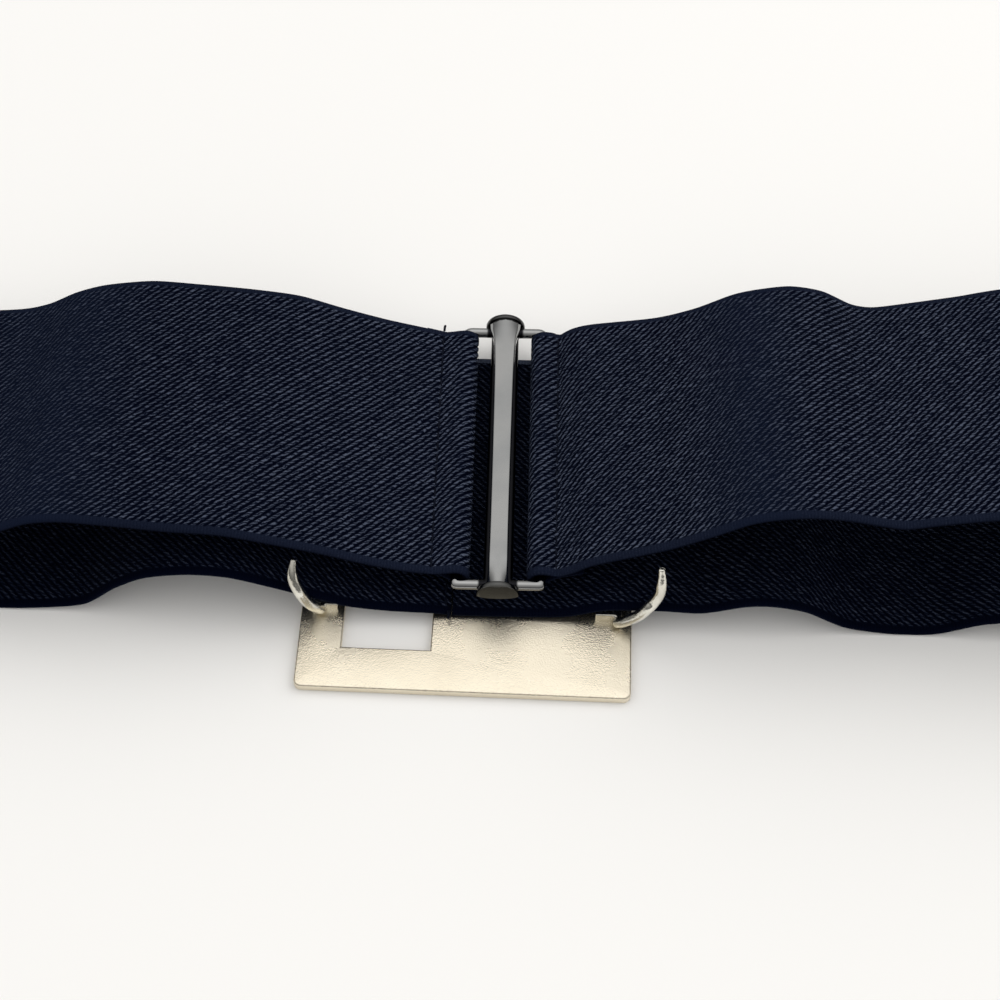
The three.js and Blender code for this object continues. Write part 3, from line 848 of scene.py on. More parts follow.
# Two bands of painted bluish sheen: the middle and the reach of each, along the belt
BLUE_SHEEN_BANDS = [(-82, 24), (52, 14)]
BLUE_SHEEN_SHARE = 0.5
BLUE_SHEEN_COLOUR = (0.005, 0.0085, 0.022, 1)
# Painted shade and highlight: nearly black in the valleys, grey navy on the crests
NAVY_SHADE_TO_HIGHLIGHT = [(0.08, (0.0003, 0.0009, 0.005)), (0.35, (0.008, 0.0112, 0.0235)), (0.85, (0.068, 0.081, 0.118))]


def yarn_tone_with_painted_light(tree, weave, rim, grain, fuzz, across, outer_face):
    """How light the yarn is by its height, float, fuzz, edge and face, with painted shade and highlights."""
    # Painted light and shade: the inner selvedge is shaded at the near edge and lit at the far one
    inner_rim_light = math_node(tree, "MULTIPLY_ADD", eased(tree, across, *FAR_RIM_LIGHT_EDGES), *INNER_RIM_SHADE_TO_LIGHT)
    rim_tone_with_painted_light = mixed(tree, outer_face, inner_rim_light, OUTER_RIM)
    lively = mixed(tree, rim, math_node(tree, "MULTIPLY_ADD", grain, *FLOAT_BRIGHTNESS), rim_tone_with_painted_light)
    # Painted shade on the inner face
    face_shade = math_node(tree, "MULTIPLY_ADD", outer_face, 1 - INNER_FACE_SHADE, INNER_FACE_SHADE)
    speck = math_node(tree, "MULTIPLY", math_node(tree, "MULTIPLY_ADD", fuzz, *FUZZ_TONE), face_shade)
    return math_node(tree, "MULTIPLY", math_node(tree, "MULTIPLY", weave, lively), speck)


def painted_sheen_bands(tree, lengthwise):
    """1 in the middle of each band of painted sheen and 0 away from them."""
    total = 0.0
    for middle, reach in BLUE_SHEEN_BANDS:
        away = math_node(tree, "ABSOLUTE", math_node(tree, "SUBTRACT", lengthwise, middle * MM))
        total = math_node(tree, "ADD", total, eased(tree, away, reach * MM, 0.0))
    return total


def elastic_paint():
    """Dark navy twill: floats in bump and colour, painted shade and highlights, smooth selvedges, painted
    sheen.
    """
    material, shader = paint(
        "navy_twill_with_painted_shade", Roughness=0.75, Specular_IOR_Level=0.01, Sheen_Weight=0.01,
        Sheen_Roughness=0.5, Sheen_Tint=(0.55, 0.62, 0.85, 1),
    )
    tree = material.node_tree
    weave_map = wire_up(tree, "ShaderNodeUVMap", uv_map=WEAVE_MAP)
    size = wire_up(tree, "ShaderNodeVectorMath", "SCALE", [weave_map])
    size.node.inputs["Scale"].default_value = BAND_WIDTH
    flat_layer = wire_up(tree, "ShaderNodeAttribute", attribute_name=FLAT_LAYER)
    flat = split(tree, flat_layer.node.outputs["Vector"])
    relief, grain = twill_ropes(tree, size)
    rim, ticks = selvedge_ticks(tree, size)
    weave = mixed(tree, rim, relief, ticks)
    fuzz = noise(tree, size, FUZZ_SCALE, FUZZ_DETAIL)
    height = math_node(tree, "ADD", weave, math_node(tree, "MULTIPLY", fuzz, FUZZ_HEIGHT))
    roughen(tree, shader, height, WEAVE_BUMP, WEAVE_BUMP_SHARE)
    outer_face = eased(tree, flat["Z"], *FACE_EDGES)
    tone = yarn_tone_with_painted_light(tree, weave, rim, grain, fuzz, flat["Y"], outer_face)
    # Painted shade: the left half is darkened
    lengthwise = split(tree, object_place(tree))["X"]
    left_shade_mask = eased(tree, lengthwise, *(edge * MM for edge in LEFT_SHADE_EDGES))
    left_shade_factor = math_node(tree, "MULTIPLY_ADD", left_shade_mask, -LEFT_PAINTED_SHADE, 1.0)
    tone = math_node(tree, "MULTIPLY", tone, left_shade_factor)
    # Painted sheen: the bluish bands lie on the outer face only
    outer_sheen_bands = math_node(tree, "MULTIPLY", painted_sheen_bands(tree, lengthwise), outer_face)
    sheen_share = math_node(tree, "MULTIPLY", outer_sheen_bands, BLUE_SHEEN_SHARE)
    dye_and_painted_light = colour_mixed(tree, sheen_share, colour_ramp(tree, tone, NAVY_SHADE_TO_HIGHLIGHT), BLUE_SHEEN_COLOUR)
    tree.links.new(dye_and_painted_light, shader.inputs["Base Color"])
    return material


elastic = elastic_paint()
print(elastic.name, len(elastic.node_tree.nodes), "nodes")

# %% [markdown]
# ### Both lengths of elastic
# Each sheet is now woven flat and bent. The row of stitches at the strap pulls the cloth in, so its
# outer face is pinched there into a shallow groove.

# %% Weave both bands and bend them
PINCH_DEPTH = 0.42
PINCH_WIDTH = 0.55
twill = ridge_tree()
for name, side in (("left", -1), ("right", 1)):
    path = paths[name]
    band = flat_band("elastic_" + name, side, path.length)
    keep_flat_place(band, side)
    smooth_shaded(band)
    run_tree(band, twill, Lean=side / math.tan(RIDGE_LEAN), Material=elastic)
    flat = read_points(band.data)
    from_stitch = np.exp(-((flat[:, 0] - path.stitch) / PINCH_WIDTH) ** 2)
    pinched = flat[:, 2] - PINCH_DEPTH * from_stitch * (flat[:, 2] > 0)
    bent = path.place(flat[:, 0], flat[:, 1], pinched) * MM
    if side < 0:
        band.data.flip_normals()
    band.data.vertices.foreach_set("co", bent.astype(np.float32).ravel())
    smooth_shaded(band)
    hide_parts("band_" + name)
    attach(band, "root")
    print(band.name, len(band.data.polygons), "faces")

# %% [markdown]
# ## Stitches and thread ends
# A row of dark thread holds each strap's turned-back end, and two rows hold the seam where the two
# lengths of elastic meet under the clasp. A stitch repeats along a line, so Geometry Nodes make the
# rows: one small rounded stitch is set on each point and turned to the row by the directions that
# the point carries. The points are worked out on the bent cloth, so each row follows its surface.

# %% A tree that sews a row of stitches
def stitch_tree():
    """Sets one bead of thread on each point, turned to the directions that the point carries."""
    tree, start, end = new_tree(
        "sew_stitches", Length=2.4, Thickness=0.5, Wobble=0.06, Seed=7, Material=None,
    )
    aim, lift = (
        wire_up(tree, "GeometryNodeInputNamedAttribute", data_type="FLOAT_VECTOR") for _ in range(2)
    )
    aim.node.inputs["Name"].default_value = "aim"
    lift.node.inputs["Name"].default_value = "lift"
    along = wire_up(tree, "FunctionNodeAlignRotationToVector", axis="X")
    tree.links.new(aim, along.node.inputs["Vector"])
    upright = wire_up(tree, "FunctionNodeAlignRotationToVector", axis="Z", pivot_axis="X")
    tree.links.new(along, upright.node.inputs["Rotation"])
    tree.links.new(lift, upright.node.inputs["Vector"])
    stray = wire_up(tree, "FunctionNodeRandomValue", data_type="FLOAT").node
    tree.links.new(math_node(tree, "MULTIPLY", start.outputs["Wobble"], -1.0), stray.inputs[2])
    tree.links.new(start.outputs["Wobble"], stray.inputs[3])
    tree.links.new(start.outputs["Seed"], stray.inputs["Seed"])
    yaw = wire_up(tree, "ShaderNodeCombineXYZ", inputs=[None, None, stray.outputs[1]])
    turned = wire_up(tree, "FunctionNodeRotateRotation", rotation_space="LOCAL", inputs=[upright, yaw])
    bead = wire_up(tree, "GeometryNodeMeshUVSphere")
    bead.node.inputs["Segments"].default_value = 8
    bead.node.inputs["Rings"].default_value = 6
    bead.node.inputs["Radius"].default_value = 0.5
    size = wire_up(tree, "ShaderNodeCombineXYZ", inputs=[
        start.outputs["Length"], start.outputs["Thickness"], start.outputs["Thickness"],
    ])
    placed = wire_up(tree, "GeometryNodeInstanceOnPoints").node
    tree.links.new(start.outputs["Geometry"], placed.inputs["Points"])
    tree.links.new(bead, placed.inputs["Instance"])
    tree.links.new(turned, placed.inputs["Rotation"])
    tree.links.new(size, placed.inputs["Scale"])
    realized = wire_up(tree, "GeometryNodeRealizeInstances", inputs=[placed.outputs[0]])
    dressed = wire_up(tree, "GeometryNodeSetMaterial", inputs=[realized])
    tree.links.new(start.outputs["Material"], dressed.node.inputs["Material"])
    tree.links.new(dressed, end.inputs[0])
    return tree


# %% Spin the thread
TWIST_SCALE = 4000
THREAD_TONES = [(0.0, (0.0003, 0.0006, 0.003)), (1.0, (0.007, 0.009, 0.018))]


def thread_paint():
    """Twisted sewing thread, nearly black, a little glossier than the elastic."""
    material, shader = paint("dark_sewing_thread", Roughness=0.5, Specular_IOR_Level=0.03)
    tree = material.node_tree
    twist = noise(tree, object_place(tree), TWIST_SCALE)
    tree.links.new(colour_ramp(tree, twist, THREAD_TONES), shader.inputs["Base Color"])
    roughen(tree, shader, twist, 0.08 * MM)
    return material


thread = thread_paint()
sewing = stitch_tree()
print(thread.name, "and the tree", sewing.name)

# %% [markdown]
# ### Three rows on each length
# One row goes through both layers of the strap and shows as a sunk line on its outer face. A second
# row finishes the tail's raw end, and a third one holds the seam. All three are the same row of
# beads, laid across the cloth at another place along it and on one of its two faces.

# %% Sew the rows
STITCH_PITCH = 2.75
STITCH_LENGTH = 2.5
STITCH_MARGIN = 1.2
THREAD_WIDTH = 0.5
THREAD_SINK = 0.12
GROOVE_SINK = PINCH_DEPTH + 0.02
SEAM_ROW = 1.1


def stitch_row(name, path, along, face, sunk):
    """Stitches across the band at one place along it, on its outer face, 1, or its inner one, -1."""
    count = int((BAND_WIDTH - STITCH_MARGIN) / STITCH_PITCH)
    places, aims, lifts = [], [], []
    for across in (np.arange(count) - (count - 1) / 2) * STITCH_PITCH:
        middle, normal, crosswise = path.frame(along, across)
        places.append((middle + normal * face * (BAND_THICK / 2 - sunk)) * MM)
        aims.append(crosswise)
        lifts.append(normal * face)
    row = mesh_object(name, places, [])
    for label, values in (("aim", aims), ("lift", lifts)):
        layer = row.data.attributes.new(label, "FLOAT_VECTOR", "POINT")
        layer.data.foreach_set("vector", np.array(values, np.float32).ravel())
    run_tree(row, sewing, Length=STITCH_LENGTH * MM, Thickness=THREAD_WIDTH * MM, Material=thread)
    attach(smooth_shaded(row), "root")
    print(row.name, count, "stitches")
    return row


for name, path in paths.items():
    stitch_row("strap_stitches_" + name, path, path.stitch, 1, GROOVE_SINK)
    stitch_row("tail_stitches_" + name, path, TAIL_PAST_STITCH, 1, THREAD_SINK)
    stitch_row("seam_stitches_" + name, path, path.length - SEAM_ROW, -1, THREAD_SINK)

# %% [markdown]
# ### Loose thread ends
# The belt is worn, and two cut ends of thread stick out: one at the far edge of the left strap, one
# at the near end of the seam. Each is a thin tube along four points, as a curve with a bevel would
# be, but its rings are worked out here, so that both ends are closed.

# %% Leave two thread ends
THREAD_SIDES = 8
THREAD_STEPS = 6
TUBE_TENSION = 0.5
THREAD_ASIDE = (0.3, 0.9, 0.3)
# Thread ends, from the cloth outwards: shares along the cloth's edge and off its face
STRAP_END_ROWS = [(0, 0), (0.5, 0.15), (1, 0.5), (0.9, 0.85)]
SEAM_END_ROWS = [(0, 0), (0.6, -0.1), (1, 0.1), (1.1, 0.4)]
STRAP_END_REACH = 0.8
SEAM_END_REACH = -1.1
END_INSET = 0.3
SEAM_END_BACK = 0.5


def tube_points(line, radii, aside, sides):
    """Rings of points round a line, with a radius at each of its points."""
    points = []
    for index, (place, radius) in enumerate(zip(line, radii)):
        ahead = line[min(index + 1, len(line) - 1)] - line[max(index - 1, 0)]
        ahead /= np.linalg.norm(ahead)
        across = np.cross(ahead, aside)
        across /= np.linalg.norm(across)
        up = np.cross(ahead, across)
        for turn in np.linspace(0, 2 * math.pi, sides, endpoint=False):
            points.append(place + radius * (across * math.cos(turn) + up * math.sin(turn)))
    return np.array(points)


def thread_end(name, places):
    """A loose end of thread along a few points."""
    line = curve_through(places, THREAD_STEPS, TUBE_TENSION)
    points = tube_points(line, [THREAD_WIDTH / 2] * len(line), THREAD_ASIDE, THREAD_SIDES)
    end = outward(capped_rings(name, points * MM, len(line), THREAD_SIDES))
    end.data.materials.append(thread)
    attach(end, "root")
    print(end.name, len(end.data.polygons), "faces")


left_path = paths["left"]
strap_root = left_path.frame(left_path.stitch, half_band - END_INSET)
seam_root = left_path.frame(left_path.length - SEAM_END_BACK, END_INSET - half_band)
for name, (root, normal, back), rows, reach, face in (
    ("thread_end_strap", strap_root, STRAP_END_ROWS, STRAP_END_REACH, 1),
    ("thread_end_seam", seam_root, SEAM_END_ROWS, SEAM_END_REACH, -1),
):
    root = root + normal * face * BAND_THICK / 2
    thread_end(name, [root + (back * out + normal * face * lift) * reach for out, lift in rows])

# %% [markdown]
# ## Metal finishes
# The clasp has a polished gunmetal plating, dark and mirror bright. The buckle plate is cast metal
# with a pale warm nickel plating, satin and a little grainy, so its reflections break up into specks.
# Both are made from noise on object coordinates, because plating follows the piece and not a seam.
# The bar's end caps and the wires close to the clasp's middle look nearly black from shade and dark
# reflections, so the caps get a darker plating of their own, which is a painted dark reflection, and
# the wires a stretch of painted shade.

# %% A recipe for plating
CLOUD_SCALE = 90
CLOUD_DETAIL = 4
CLOUD_STOPS = (0.35, 0.6)
GLOSS_EDGES = (0.3, 0.7)


def metal_paint(name, light, dark, roughness, grain, grain_scale, depth):
    """A plated metal: two tones of cloudy colour, uneven gloss and a fine grain in the surface."""
    material, shader = paint(name, Metallic=1.0)
    tree = material.node_tree
    place = object_place(tree)
    cloud = noise(tree, place, CLOUD_SCALE, CLOUD_DETAIL)
    tones = colour_ramp(tree, cloud, list(zip(CLOUD_STOPS, (dark, light))))
    tree.links.new(tones, shader.inputs["Base Color"])
    gloss = wire_up(tree, "ShaderNodeMapRange", inputs=[cloud, *GLOSS_EDGES, *roughness])
    tree.links.new(gloss, shader.inputs["Roughness"])
    roughen(tree, shader, noise(tree, place, grain_scale), depth, grain)
    return material


# %% Plate the clasp
CLASP_GRAIN = 900
# Painted shade on the wires beside the bar: its colour, and its reach from the bar's middle
BAR_SHADE_COLOUR = (0.012, 0.012, 0.014, 1)
BAR_SHADE_EDGES = (3.4, 3.9)


def paint_shade_near_bar(material, line, edges):
    """Paints shade into the plating near a line across the belt, up to two distances from it."""
    tree = material.node_tree
    shader = tree.nodes["Principled BSDF"]
    side = split(tree, object_place(tree))["X"]
    reach = math_node(tree, "ABSOLUTE", math_node(tree, "SUBTRACT", side, line))
    polished = eased(tree, reach, *edges)
    plating = shader.inputs["Base Color"].links[0].from_socket
    tree.links.new(colour_mixed(tree, polished, BAR_SHADE_COLOUR, plating), shader.inputs["Base Color"])


gunmetal = metal_paint(
    "gunmetal_plating", (0.345, 0.345, 0.34), (0.29, 0.295, 0.295),
    roughness=(0.1, 0.17), grain=0.3, grain_scale=CLASP_GRAIN, depth=0.01 * MM,
)
wire_plating_painted_shade = metal_paint(
    "wire_plating_painted_shade", (0.36, 0.36, 0.355), (0.3, 0.3, 0.3),
    roughness=(0.07, 0.12), grain=0.3, grain_scale=CLASP_GRAIN, depth=0.01 * MM,
)
# Painted shade where the wires pass under the bar
paint_shade_near_bar(wire_plating_painted_shade, -PLATE_PLACE * MM, [edge * MM for edge in BAR_SHADE_EDGES])
# Painted dark reflection and shade: the caps' plating is far darker than the bar's
cap_plating_painted_shade = metal_paint(
    "cap_plating_painted_shade", (0.09, 0.09, 0.088), (0.05, 0.05, 0.05),
    roughness=(0.08, 0.16), grain=0.4, grain_scale=CLASP_GRAIN, depth=0.02 * MM,
)
print("clasp finishes:", gunmetal.name, wire_plating_painted_shade.name, cap_plating_painted_shade.name)

# %% Plate the buckle
nickel = metal_paint(
    "warm_nickel_plating", (0.88, 0.8, 0.645), (0.82, 0.74, 0.59),
    roughness=(0.22, 0.3), grain=1.0, grain_scale=4200, depth=0.07 * MM,
)
silver = metal_paint(
    "bright_hook_wire", (0.9, 0.88, 0.8), (0.5, 0.47, 0.38),
    roughness=(0.1, 0.24), grain=0.9, grain_scale=1500, depth=0.05 * MM,
)
print("buckle finishes:", nickel.name, silver.name)

# %% [markdown]
# ## The clasp
# Two rectangular loops of round wire hold the turned-back straps, and a flared bar covers the place
# where they meet. All of it is tilted a little, higher at the near end, so its points are first laid
# out in the clasp's own frame and then moved to their place by one function. The sizes are those of
# the model, so that what is drawn here covers it.

# %% Sizes of the clasp
LOOP_CORNER = 1.2
WEB_THICK = 0.9
FLANGE_THICK = 0.7
FLANGE_WIDTH = 4
BAR_TOP = 1.7
CAP_WIDTH = 7.9
CAP_THICK = 1
CAP_RISE = 0.4
CAP_DROP = 0.3
CAP_SAG = 0.9
ARCH_FROM = 0.78
ARCH_DEPTH = 0.9

inner_wire_offset = WEB_THICK / 2 + PIECE_GAP + wire_radius
loop_half = half_band + PIECE_GAP + wire_radius
cap_face = loop_half + wire_radius + PIECE_GAP
bar_underside = wire_radius + PIECE_GAP
clasp_turn = Matrix.Rotation(-CLASP_TILT, 3, "X")


def on_clasp(points):
    """Moves points from the clasp's own frame, in millimetres, to the row's, in metres."""
    turned = np.array(points, float) @ np.array(clasp_turn).T
    return (turned + np.array([0, UPPER_SHIFT, clasp_height]) + to_row) * MM


# %% [markdown]
# ### The wire loops
# A wire loop could be a curve with a bevel, but that gives the same round corner everywhere. On the
# real ones the wire is bent round at the far end and looks almost square on the outside at the near
# one. So a round section is carried round the rectangle, and at the near corners the outer reach of
# each ring follows a squarer curve.

# %% Bend the two wire loops
WIRE_SIDES = 20
CORNER_STEPS = 10
SQUARE_CORNER = 4
ROUND_CORNER = 2
AROUND = ((1, 1), (-1, 1), (-1, -1), (1, -1))


def wire_loop(name, side):
    """One loop: rings of a round section at its four corners, joined by straight wire."""
    half_width = (wire_offset - inner_wire_offset) / 2
    middle = side * (wire_offset + inner_wire_offset) / 2
    points = []
    for corner, (sign_x, sign_y) in enumerate(AROUND):
        centre_x = middle + sign_x * (half_width - LOOP_CORNER)
        centre = np.array([centre_x, sign_y * (loop_half - LOOP_CORNER), 0])
        power = SQUARE_CORNER if sign_y < 0 else ROUND_CORNER
        for angle in np.linspace(corner, corner + 1, CORNER_STEPS + 1) * math.pi / 2:
            out = np.array([math.cos(angle), math.sin(angle), 0])
            inner = LOOP_CORNER - wire_radius
            squared = (abs(out[0]) ** power + abs(out[1]) ** power) ** (-1 / power)
            outer = (LOOP_CORNER + wire_radius) * squared
            for turn in np.linspace(0, 2 * math.pi, WIRE_SIDES, endpoint=False):
                proud = (outer + inner) / 2 + (outer - inner) / 2 * math.cos(turn)
                points.append(centre + out * proud + np.array([0, 0, wire_radius * math.sin(turn)]))
    rings = 4 * (CORNER_STEPS + 1)
    piece = mesh_object(name, on_clasp(points), ring_faces(rings, WIRE_SIDES, True))
    piece.data.materials.append(wire_plating_painted_shade)
    return outward(piece)


for name, side in (("left", -1), ("right", 1)):
    loop = wire_loop("wire_loop_" + name, side)
    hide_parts("clasp_loop_" + name)
    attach(loop, "root")
    print(loop.name, len(loop.data.polygons), "faces")

# %% [markdown]
# ### The bar
# The bar is a flat-topped section with soft shoulders, carried along its length while it grows wider
# and higher towards its ends, where its top turns into an arch. It is drawn as rings of points,
# because a bevelled box has neither the flare nor the arch.

# %% Draw the bar
# From the near end to the far one: place along, width and height, all as shares
BAR_ROWS = [
    (-1, 0.64, 1), (-0.965, 0.53, 0.94), (-0.9, 0.48, 0.89), (-0.75, 0.465, 0.88), (-0.5, 0.46, 0.88),
    (0, 0.475, 0.88), (0.3, 0.49, 0.88), (0.6, 0.51, 0.89), (0.785, 0.56, 0.91), (0.86, 0.63, 0.94),
    (0.93, 0.735, 0.98), (1, 0.79, 1),
]
BAR_STEPS = 10
SHOULDER_STEPS = 8
SHOULDER_SIDE = 0.2
SHOULDER_DROP = 0.42
TOP_POINTS = [(0.4, 1), (0, 1), (-0.4, 1)]


def bar_section():
    """Half-round shoulders and a flat top: side and height as shares."""
    points = [(1, 0)]
    for angle in np.linspace(0, math.pi / 2, SHOULDER_STEPS + 1):
        points.append((1 - SHOULDER_SIDE * (1 - math.cos(angle)), 1 - SHOULDER_DROP * (1 - math.sin(angle))))
    return points + TOP_POINTS + [(-side, up) for side, up in reversed(points)]


def bar_body():
    """The bar without its caps, as a closed piece."""
    rows = curve_through(BAR_ROWS, BAR_STEPS, PATH_TENSION)
    section = bar_section()
    points = []
    for along, wide, rise in rows:
        arch = ARCH_DEPTH * smoothstep(abs(along), ARCH_FROM, 1)
        for side, up in section:
            height = up * rise * BAR_TOP * (1 - arch * side**2)
            place = along * (cap_face + CAP_THICK / 2)
            points.append((side * wide * CAP_WIDTH / 2, place, bar_underside + height))
    body = capped_rings("bar_body", on_clasp(points), len(rows), len(section))
    body.data.materials.append(gunmetal)
    return body


# %% [markdown]
# ### The end caps
# A half-moon cap stands upright at each end of the bar. Its outline is half an ellipse above and a
# flatter one below, and its edges are softened by drawing it a little smaller at both faces.

# %% Draw a cap
CAP_EDGE = 0.28
CAP_EDGE_SHARE = 0.3
CAP_SIDES = 48


def bar_cap(end):
    """The cap at one end: -1 for the near one and 1 for the far one."""
    height = bar_underside + BAR_TOP + CAP_RISE + CAP_DROP
    outline = []
    for angle in np.linspace(0, 2 * math.pi, CAP_SIDES, endpoint=False):
        reach = height if angle < math.pi else CAP_SAG
        outline.append((CAP_WIDTH / 2 * math.cos(angle), reach * math.sin(angle)))
    points = []
    part_way = CAP_EDGE_SHARE * CAP_EDGE
    layers = [(0, CAP_EDGE), (part_way, part_way), (CAP_EDGE, 0)]
    layers += [(CAP_THICK - depth, inset) for depth, inset in reversed(layers)]
    for depth, inset in layers:
        shrink_side, shrink_up = 1 - inset / (CAP_WIDTH / 2), 1 - inset / height
        for side, up in outline:
            points.append((side * shrink_side, end * (cap_face + depth), up * shrink_up - CAP_DROP))
    cap = capped_rings("bar_cap", on_clasp(points), len(layers), CAP_SIDES)
    cap.data.materials.append(cap_plating_painted_shade)
    return cap


# %% [markdown]
# ### One casting
# On the real clasp the bar, its caps and the hidden web that parts the two wires are one casting. So
# they are joined by booleans into one closed piece, and each part keeps its own plating, the caps'
# with its painted dark reflection. Smooth shading with sharp edges past an angle then shows the soft
# shoulders and the crisp caps.

# %% Join the clasp
CLASP_SHARP = math.radians(35)
FLANGE_REST = 0.1


def slab(name, low, high, to_frame):
    """A plain block between two corners, used only inside a join."""
    corners = [(x, y, z) for x in (low[0], high[0]) for y in (low[1], high[1]) for z in (low[2], high[2])]
    faces = [(0, 1, 3, 2), (4, 6, 7, 5), (0, 4, 5, 1), (2, 3, 7, 6), (0, 2, 6, 4), (1, 5, 7, 3)]
    return mesh_object(name, to_frame(corners), faces)


def joined(name, pieces):
    """One closed piece from several overlapping ones, by boolean unions."""
    whole = outward(pieces[0])
    for extra in pieces[1:]:
        outward(extra)
        union = whole.modifiers.new("join", "BOOLEAN")
        union.operation = "UNION"
        union.solver = "EXACT"
        union.object = extra
        union.material_mode = "TRANSFER"
        ready = whole.evaluated_get(bpy.context.evaluated_depsgraph_get())
        mesh = bpy.data.meshes.new_from_object(ready)
        whole.modifiers.remove(union)
        whole.data = mesh
        bpy.data.objects.remove(extra)
    whole.name = name
    whole.data.name = name
    return whole


web_reach = cap_face + CAP_THICK / 2
flange_reach = cap_face + FLANGE_REST
web = slab(
    "web", (-WEB_THICK / 2, -web_reach, -bar_underside - FLANGE_THICK / 2),
    (WEB_THICK / 2, web_reach, bar_underside + BAR_TOP / 2), on_clasp,
)
flange = slab(
    "flange", (-FLANGE_WIDTH / 2, -flange_reach, -bar_underside - FLANGE_THICK),
    (FLANGE_WIDTH / 2, flange_reach, -bar_underside), on_clasp,
)
for hidden in (web, flange):
    hidden.data.materials.append(cap_plating_painted_shade)
bar = joined("clasp_bar_polished", [bar_body(), bar_cap(-1), bar_cap(1), web, flange])
bar.data.shade_smooth()
bar.data.set_sharp_from_angle(angle=CLASP_SHARP)
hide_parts("clasp_bar")
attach(bar, "root")
print(bar.name, len(bar.data.polygons), "faces")

# %% [markdown]
# ## The buckle plate
# The plate is a flat casting with a window, softly rounded all round its edges. Two bosses stand on
# its back, and a bent wire hook is soldered to each. The plate lies a little askew on the table, so
# its points are laid out in its own frame and turned at the end.

# %% Sizes of the plate and its hooks
PLATE_LENGTH = 62
PLATE_HEIGHT = 35
PLATE_CORNER = 1.4
PLATE_TURN = math.radians(1.3)
WINDOW_WIDTH = 16.6
WINDOW_SIDE = 8.1
WINDOW_RIM = 8.7
HOOK_DIAMETER = 1.9
HOOK_TIP = 0.56
HOOK_TAPER = 0.78
HOOK_REACH = 8
HOOK_BACK = 3.9
HOOK_RISE = 14
BOSS_LENGTH = 4.9
BOSS_DEPTH = 3.2
BOSS_RISE = 2.2
BOSS_INSET = 2
BOSS_BACK = 2.05
# Hooks, from boss to tip: shares outwards, backwards and upwards
HOOK_ROWS = {
    "left": [
        (0.09, 0.43, 0.07), (0.225, 0.1, 0.29), (0.33, 0, 0.42), (0.43, 0, 0.55), (0.51, 0.06, 0.665),
        (0.625, 0.33, 0.81), (0.65, 0.64, 0.945), (0.62, 0.95, 1.03),
    ],
    "right": [
        (0.19, 0.34, 0.07), (0.375, 0.185, 0.18), (0.7, 0.15, 0.365), (0.89, 0.22, 0.52), (1.01, 0.36, 0.61),
        (1.125, 0.49, 0.765), (1.15, 0.63, 0.905), (1.15, 0.81, 1.035), (1.125, 0.98, 1.15),
    ],
}

hook_radius = HOOK_DIAMETER / 2
hook_span = PLATE_LENGTH / 2 - BOSS_INSET - BOSS_LENGTH / 2
turn_allowance = hook_span * math.tan(PLATE_TURN - LOWER_TURN)
hook_front = PLATE_INSET + hook_radius + PIECE_GAP + turn_allowance
plate_turn = np.array(Matrix.Rotation(-PLATE_TURN, 3, "Z"))


def on_plate(points):
    """Moves points from the plate's own frame, in millimetres, to the row's, in metres."""
    return np.array(points, float) @ plate_turn.T * MM


# %% [markdown]
# ### The plate
# A box with a bevel would do for the outside but not for the window. So the outline and the window
# are each drawn as a stack of rings, drawn in at both faces to round the edges, and the two faces are
# filled between the rings.

# %% Cast the plate
PLATE_EDGE = 0.35
EDGE_STEPS = 5
OUTLINE_STEPS = 8
WINDOW_CORNER = 0.15
WINDOW_STEPS = 4


def rounded_outline(width, height, radius, steps):
    """Points round a rectangle with round corners."""
    points = []
    for corner, (sign_x, sign_y) in enumerate(AROUND):
        for angle in np.linspace(corner, corner + 1, steps + 1) * math.pi / 2:
            points.append((
                sign_x * (width / 2 - radius) + radius * math.cos(angle),
                sign_y * (height / 2 - radius) + radius * math.sin(angle),
            ))
    return points


def plate_body():
    """The plate with its window: rings of its outline, rounded over at both faces."""
    profile = [
        (PLATE_EDGE * (1 - math.sin(angle)), PLATE_EDGE * (1 - math.cos(angle)))
        for angle in np.linspace(0, math.pi / 2, EDGE_STEPS + 1)
    ]
    layers = profile + [(inset, PLATE_THICK - up) for inset, up in reversed(profile)]
    left = WINDOW_SIDE - PLATE_LENGTH / 2
    window_middle = left + WINDOW_WIDTH / 2
    window_height = PLATE_HEIGHT - 2 * WINDOW_RIM
    mesh = bmesh.new()

    def walls(draw, grow):
        rings = []
        for inset, up in layers:
            rings.append([mesh.verts.new((x, y, up)) for x, y in draw(grow * inset)])
        for before, after in zip(rings, rings[1:]):
            for index in range(len(before)):
                following = (index + 1) % len(before)
                mesh.faces.new((before[index], before[following], after[following], after[index]))
        return rings[0], rings[-1]

    def outside(inset):
        length, height = PLATE_LENGTH - 2 * inset, PLATE_HEIGHT - 2 * inset
        return rounded_outline(length, height, PLATE_CORNER, OUTLINE_STEPS)

    def window(inset):
        width, height = WINDOW_WIDTH - 2 * inset, window_height - 2 * inset
        ring = rounded_outline(width, height, WINDOW_CORNER, WINDOW_STEPS)
        return [(x + window_middle, y) for x, y in ring]

    outer_rims = walls(outside, 1)
    inner_rims = walls(window, -1)
    for outer, inner in zip(outer_rims, inner_rims):
        edges = []
        for ring in (outer, inner):
            for index in range(len(ring)):
                pair = (ring[index], ring[(index + 1) % len(ring)])
                edges.append(mesh.edges.get(pair) or mesh.edges.new(pair))
        bmesh.ops.triangle_fill(mesh, edges=edges, use_beauty=True)
    bmesh.ops.recalc_face_normals(mesh, faces=mesh.faces)
    piece = object_from("nickel_plate", mesh)
    points = on_plate(read_points(piece.data))
    piece.data.vertices.foreach_set("co", points.astype(np.float32).ravel())
    return piece


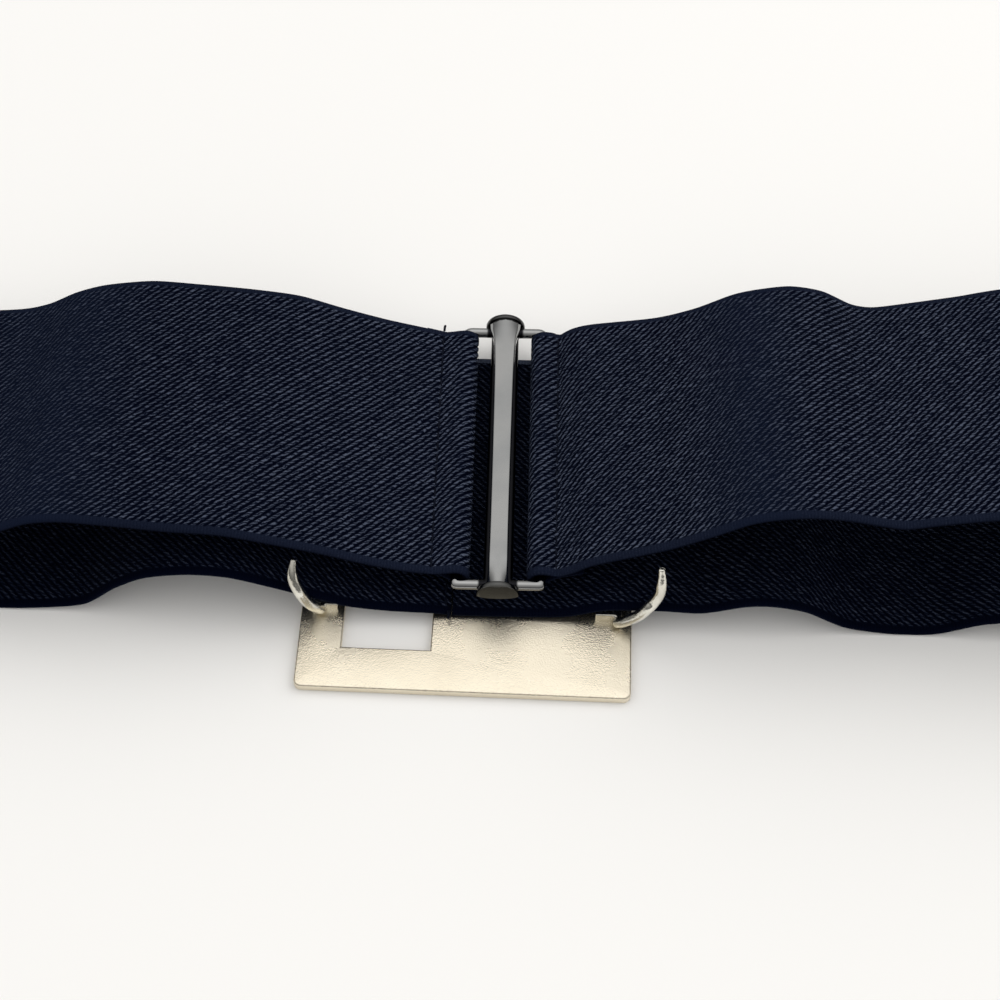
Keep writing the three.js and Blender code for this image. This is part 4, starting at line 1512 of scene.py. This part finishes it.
PLATE_SHARP = math.radians(40)
plate = plate_body()
plate.data.materials.append(nickel)
plate.data.shade_smooth()
plate.data.set_sharp_from_angle(angle=PLATE_SHARP)
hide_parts("buckle_plate")
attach(plate, "root")
print(plate.name, len(plate.data.polygons), "faces")

# %% [markdown]
# ### The hooks
# Each hook is a tapering wire bent up and back from its boss. A boolean alone would leave a sharp
# corner between them. Remeshing the two together and smoothing them fills it, as solder does. The
# smoothing shrinks the wire by about a tenth of a millimetre, so it is drawn that much thicker.

# %% Bend a hook
HOOK_SIDES = 20
HOOK_STEPS = 10
SMOOTHING_LOSS = 0.12


def hook_body(name, side):
    """The bent wire of one hook, from inside its boss to its tip."""
    root = np.array([side * hook_span, -hook_front, PLATE_THICK])
    scale = np.array([side * HOOK_REACH, HOOK_BACK, HOOK_RISE])
    line = curve_through([root + np.array(row) * scale for row in HOOK_ROWS[name]], HOOK_STEPS, TUBE_TENSION)
    steps = np.concatenate([[0], np.cumsum(np.linalg.norm(np.diff(line, axis=0), axis=1))])
    shares = steps / steps[-1]
    radii = hook_radius * (1 + (HOOK_TIP - 1) * smoothstep(shares, HOOK_TAPER, 1)) + SMOOTHING_LOSS
    points = tube_points(line, radii, (0, 1, 0), HOOK_SIDES)
    return outward(capped_rings("hook", on_plate(points), len(line), HOOK_SIDES))


# %% Solder the hooks
SOLDER_VOXEL = 0.16 * MM
RELAX_SHARE = 0.5
RELAX_ROUNDS = 6


def soldered_hook(name, side):
    """A boss and its hook as one lump, remeshed and smoothed."""
    front = BOSS_BACK - hook_front
    boss = slab(
        "boss", (side * hook_span - BOSS_LENGTH / 2, front, PLATE_THICK / 2),
        (side * hook_span + BOSS_LENGTH / 2, front + BOSS_DEPTH, PLATE_THICK + BOSS_RISE), on_plate,
    )
    lump = joined("hook_" + name, [outward(boss), hook_body(name, side)])
    remesh = lump.modifiers.new("solder", "REMESH")
    remesh.mode = "VOXEL"
    remesh.voxel_size = SOLDER_VOXEL
    relax = lump.modifiers.new("relax", "SMOOTH")
    relax.factor = RELAX_SHARE
    relax.iterations = RELAX_ROUNDS
    ready = lump.evaluated_get(bpy.context.evaluated_depsgraph_get())
    mesh = bpy.data.meshes.new_from_object(ready)
    lump.modifiers.clear()
    lump.data = mesh
    return smooth_shaded(lump)


for name, side in (("left", -1), ("right", 1)):
    hook = soldered_hook(name, side)
    hook.data.materials.clear()
    hook.data.materials.append(silver)
    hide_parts("buckle_plate")
    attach(hook, "root")
    print(hook.name, len(hook.data.polygons), "faces")
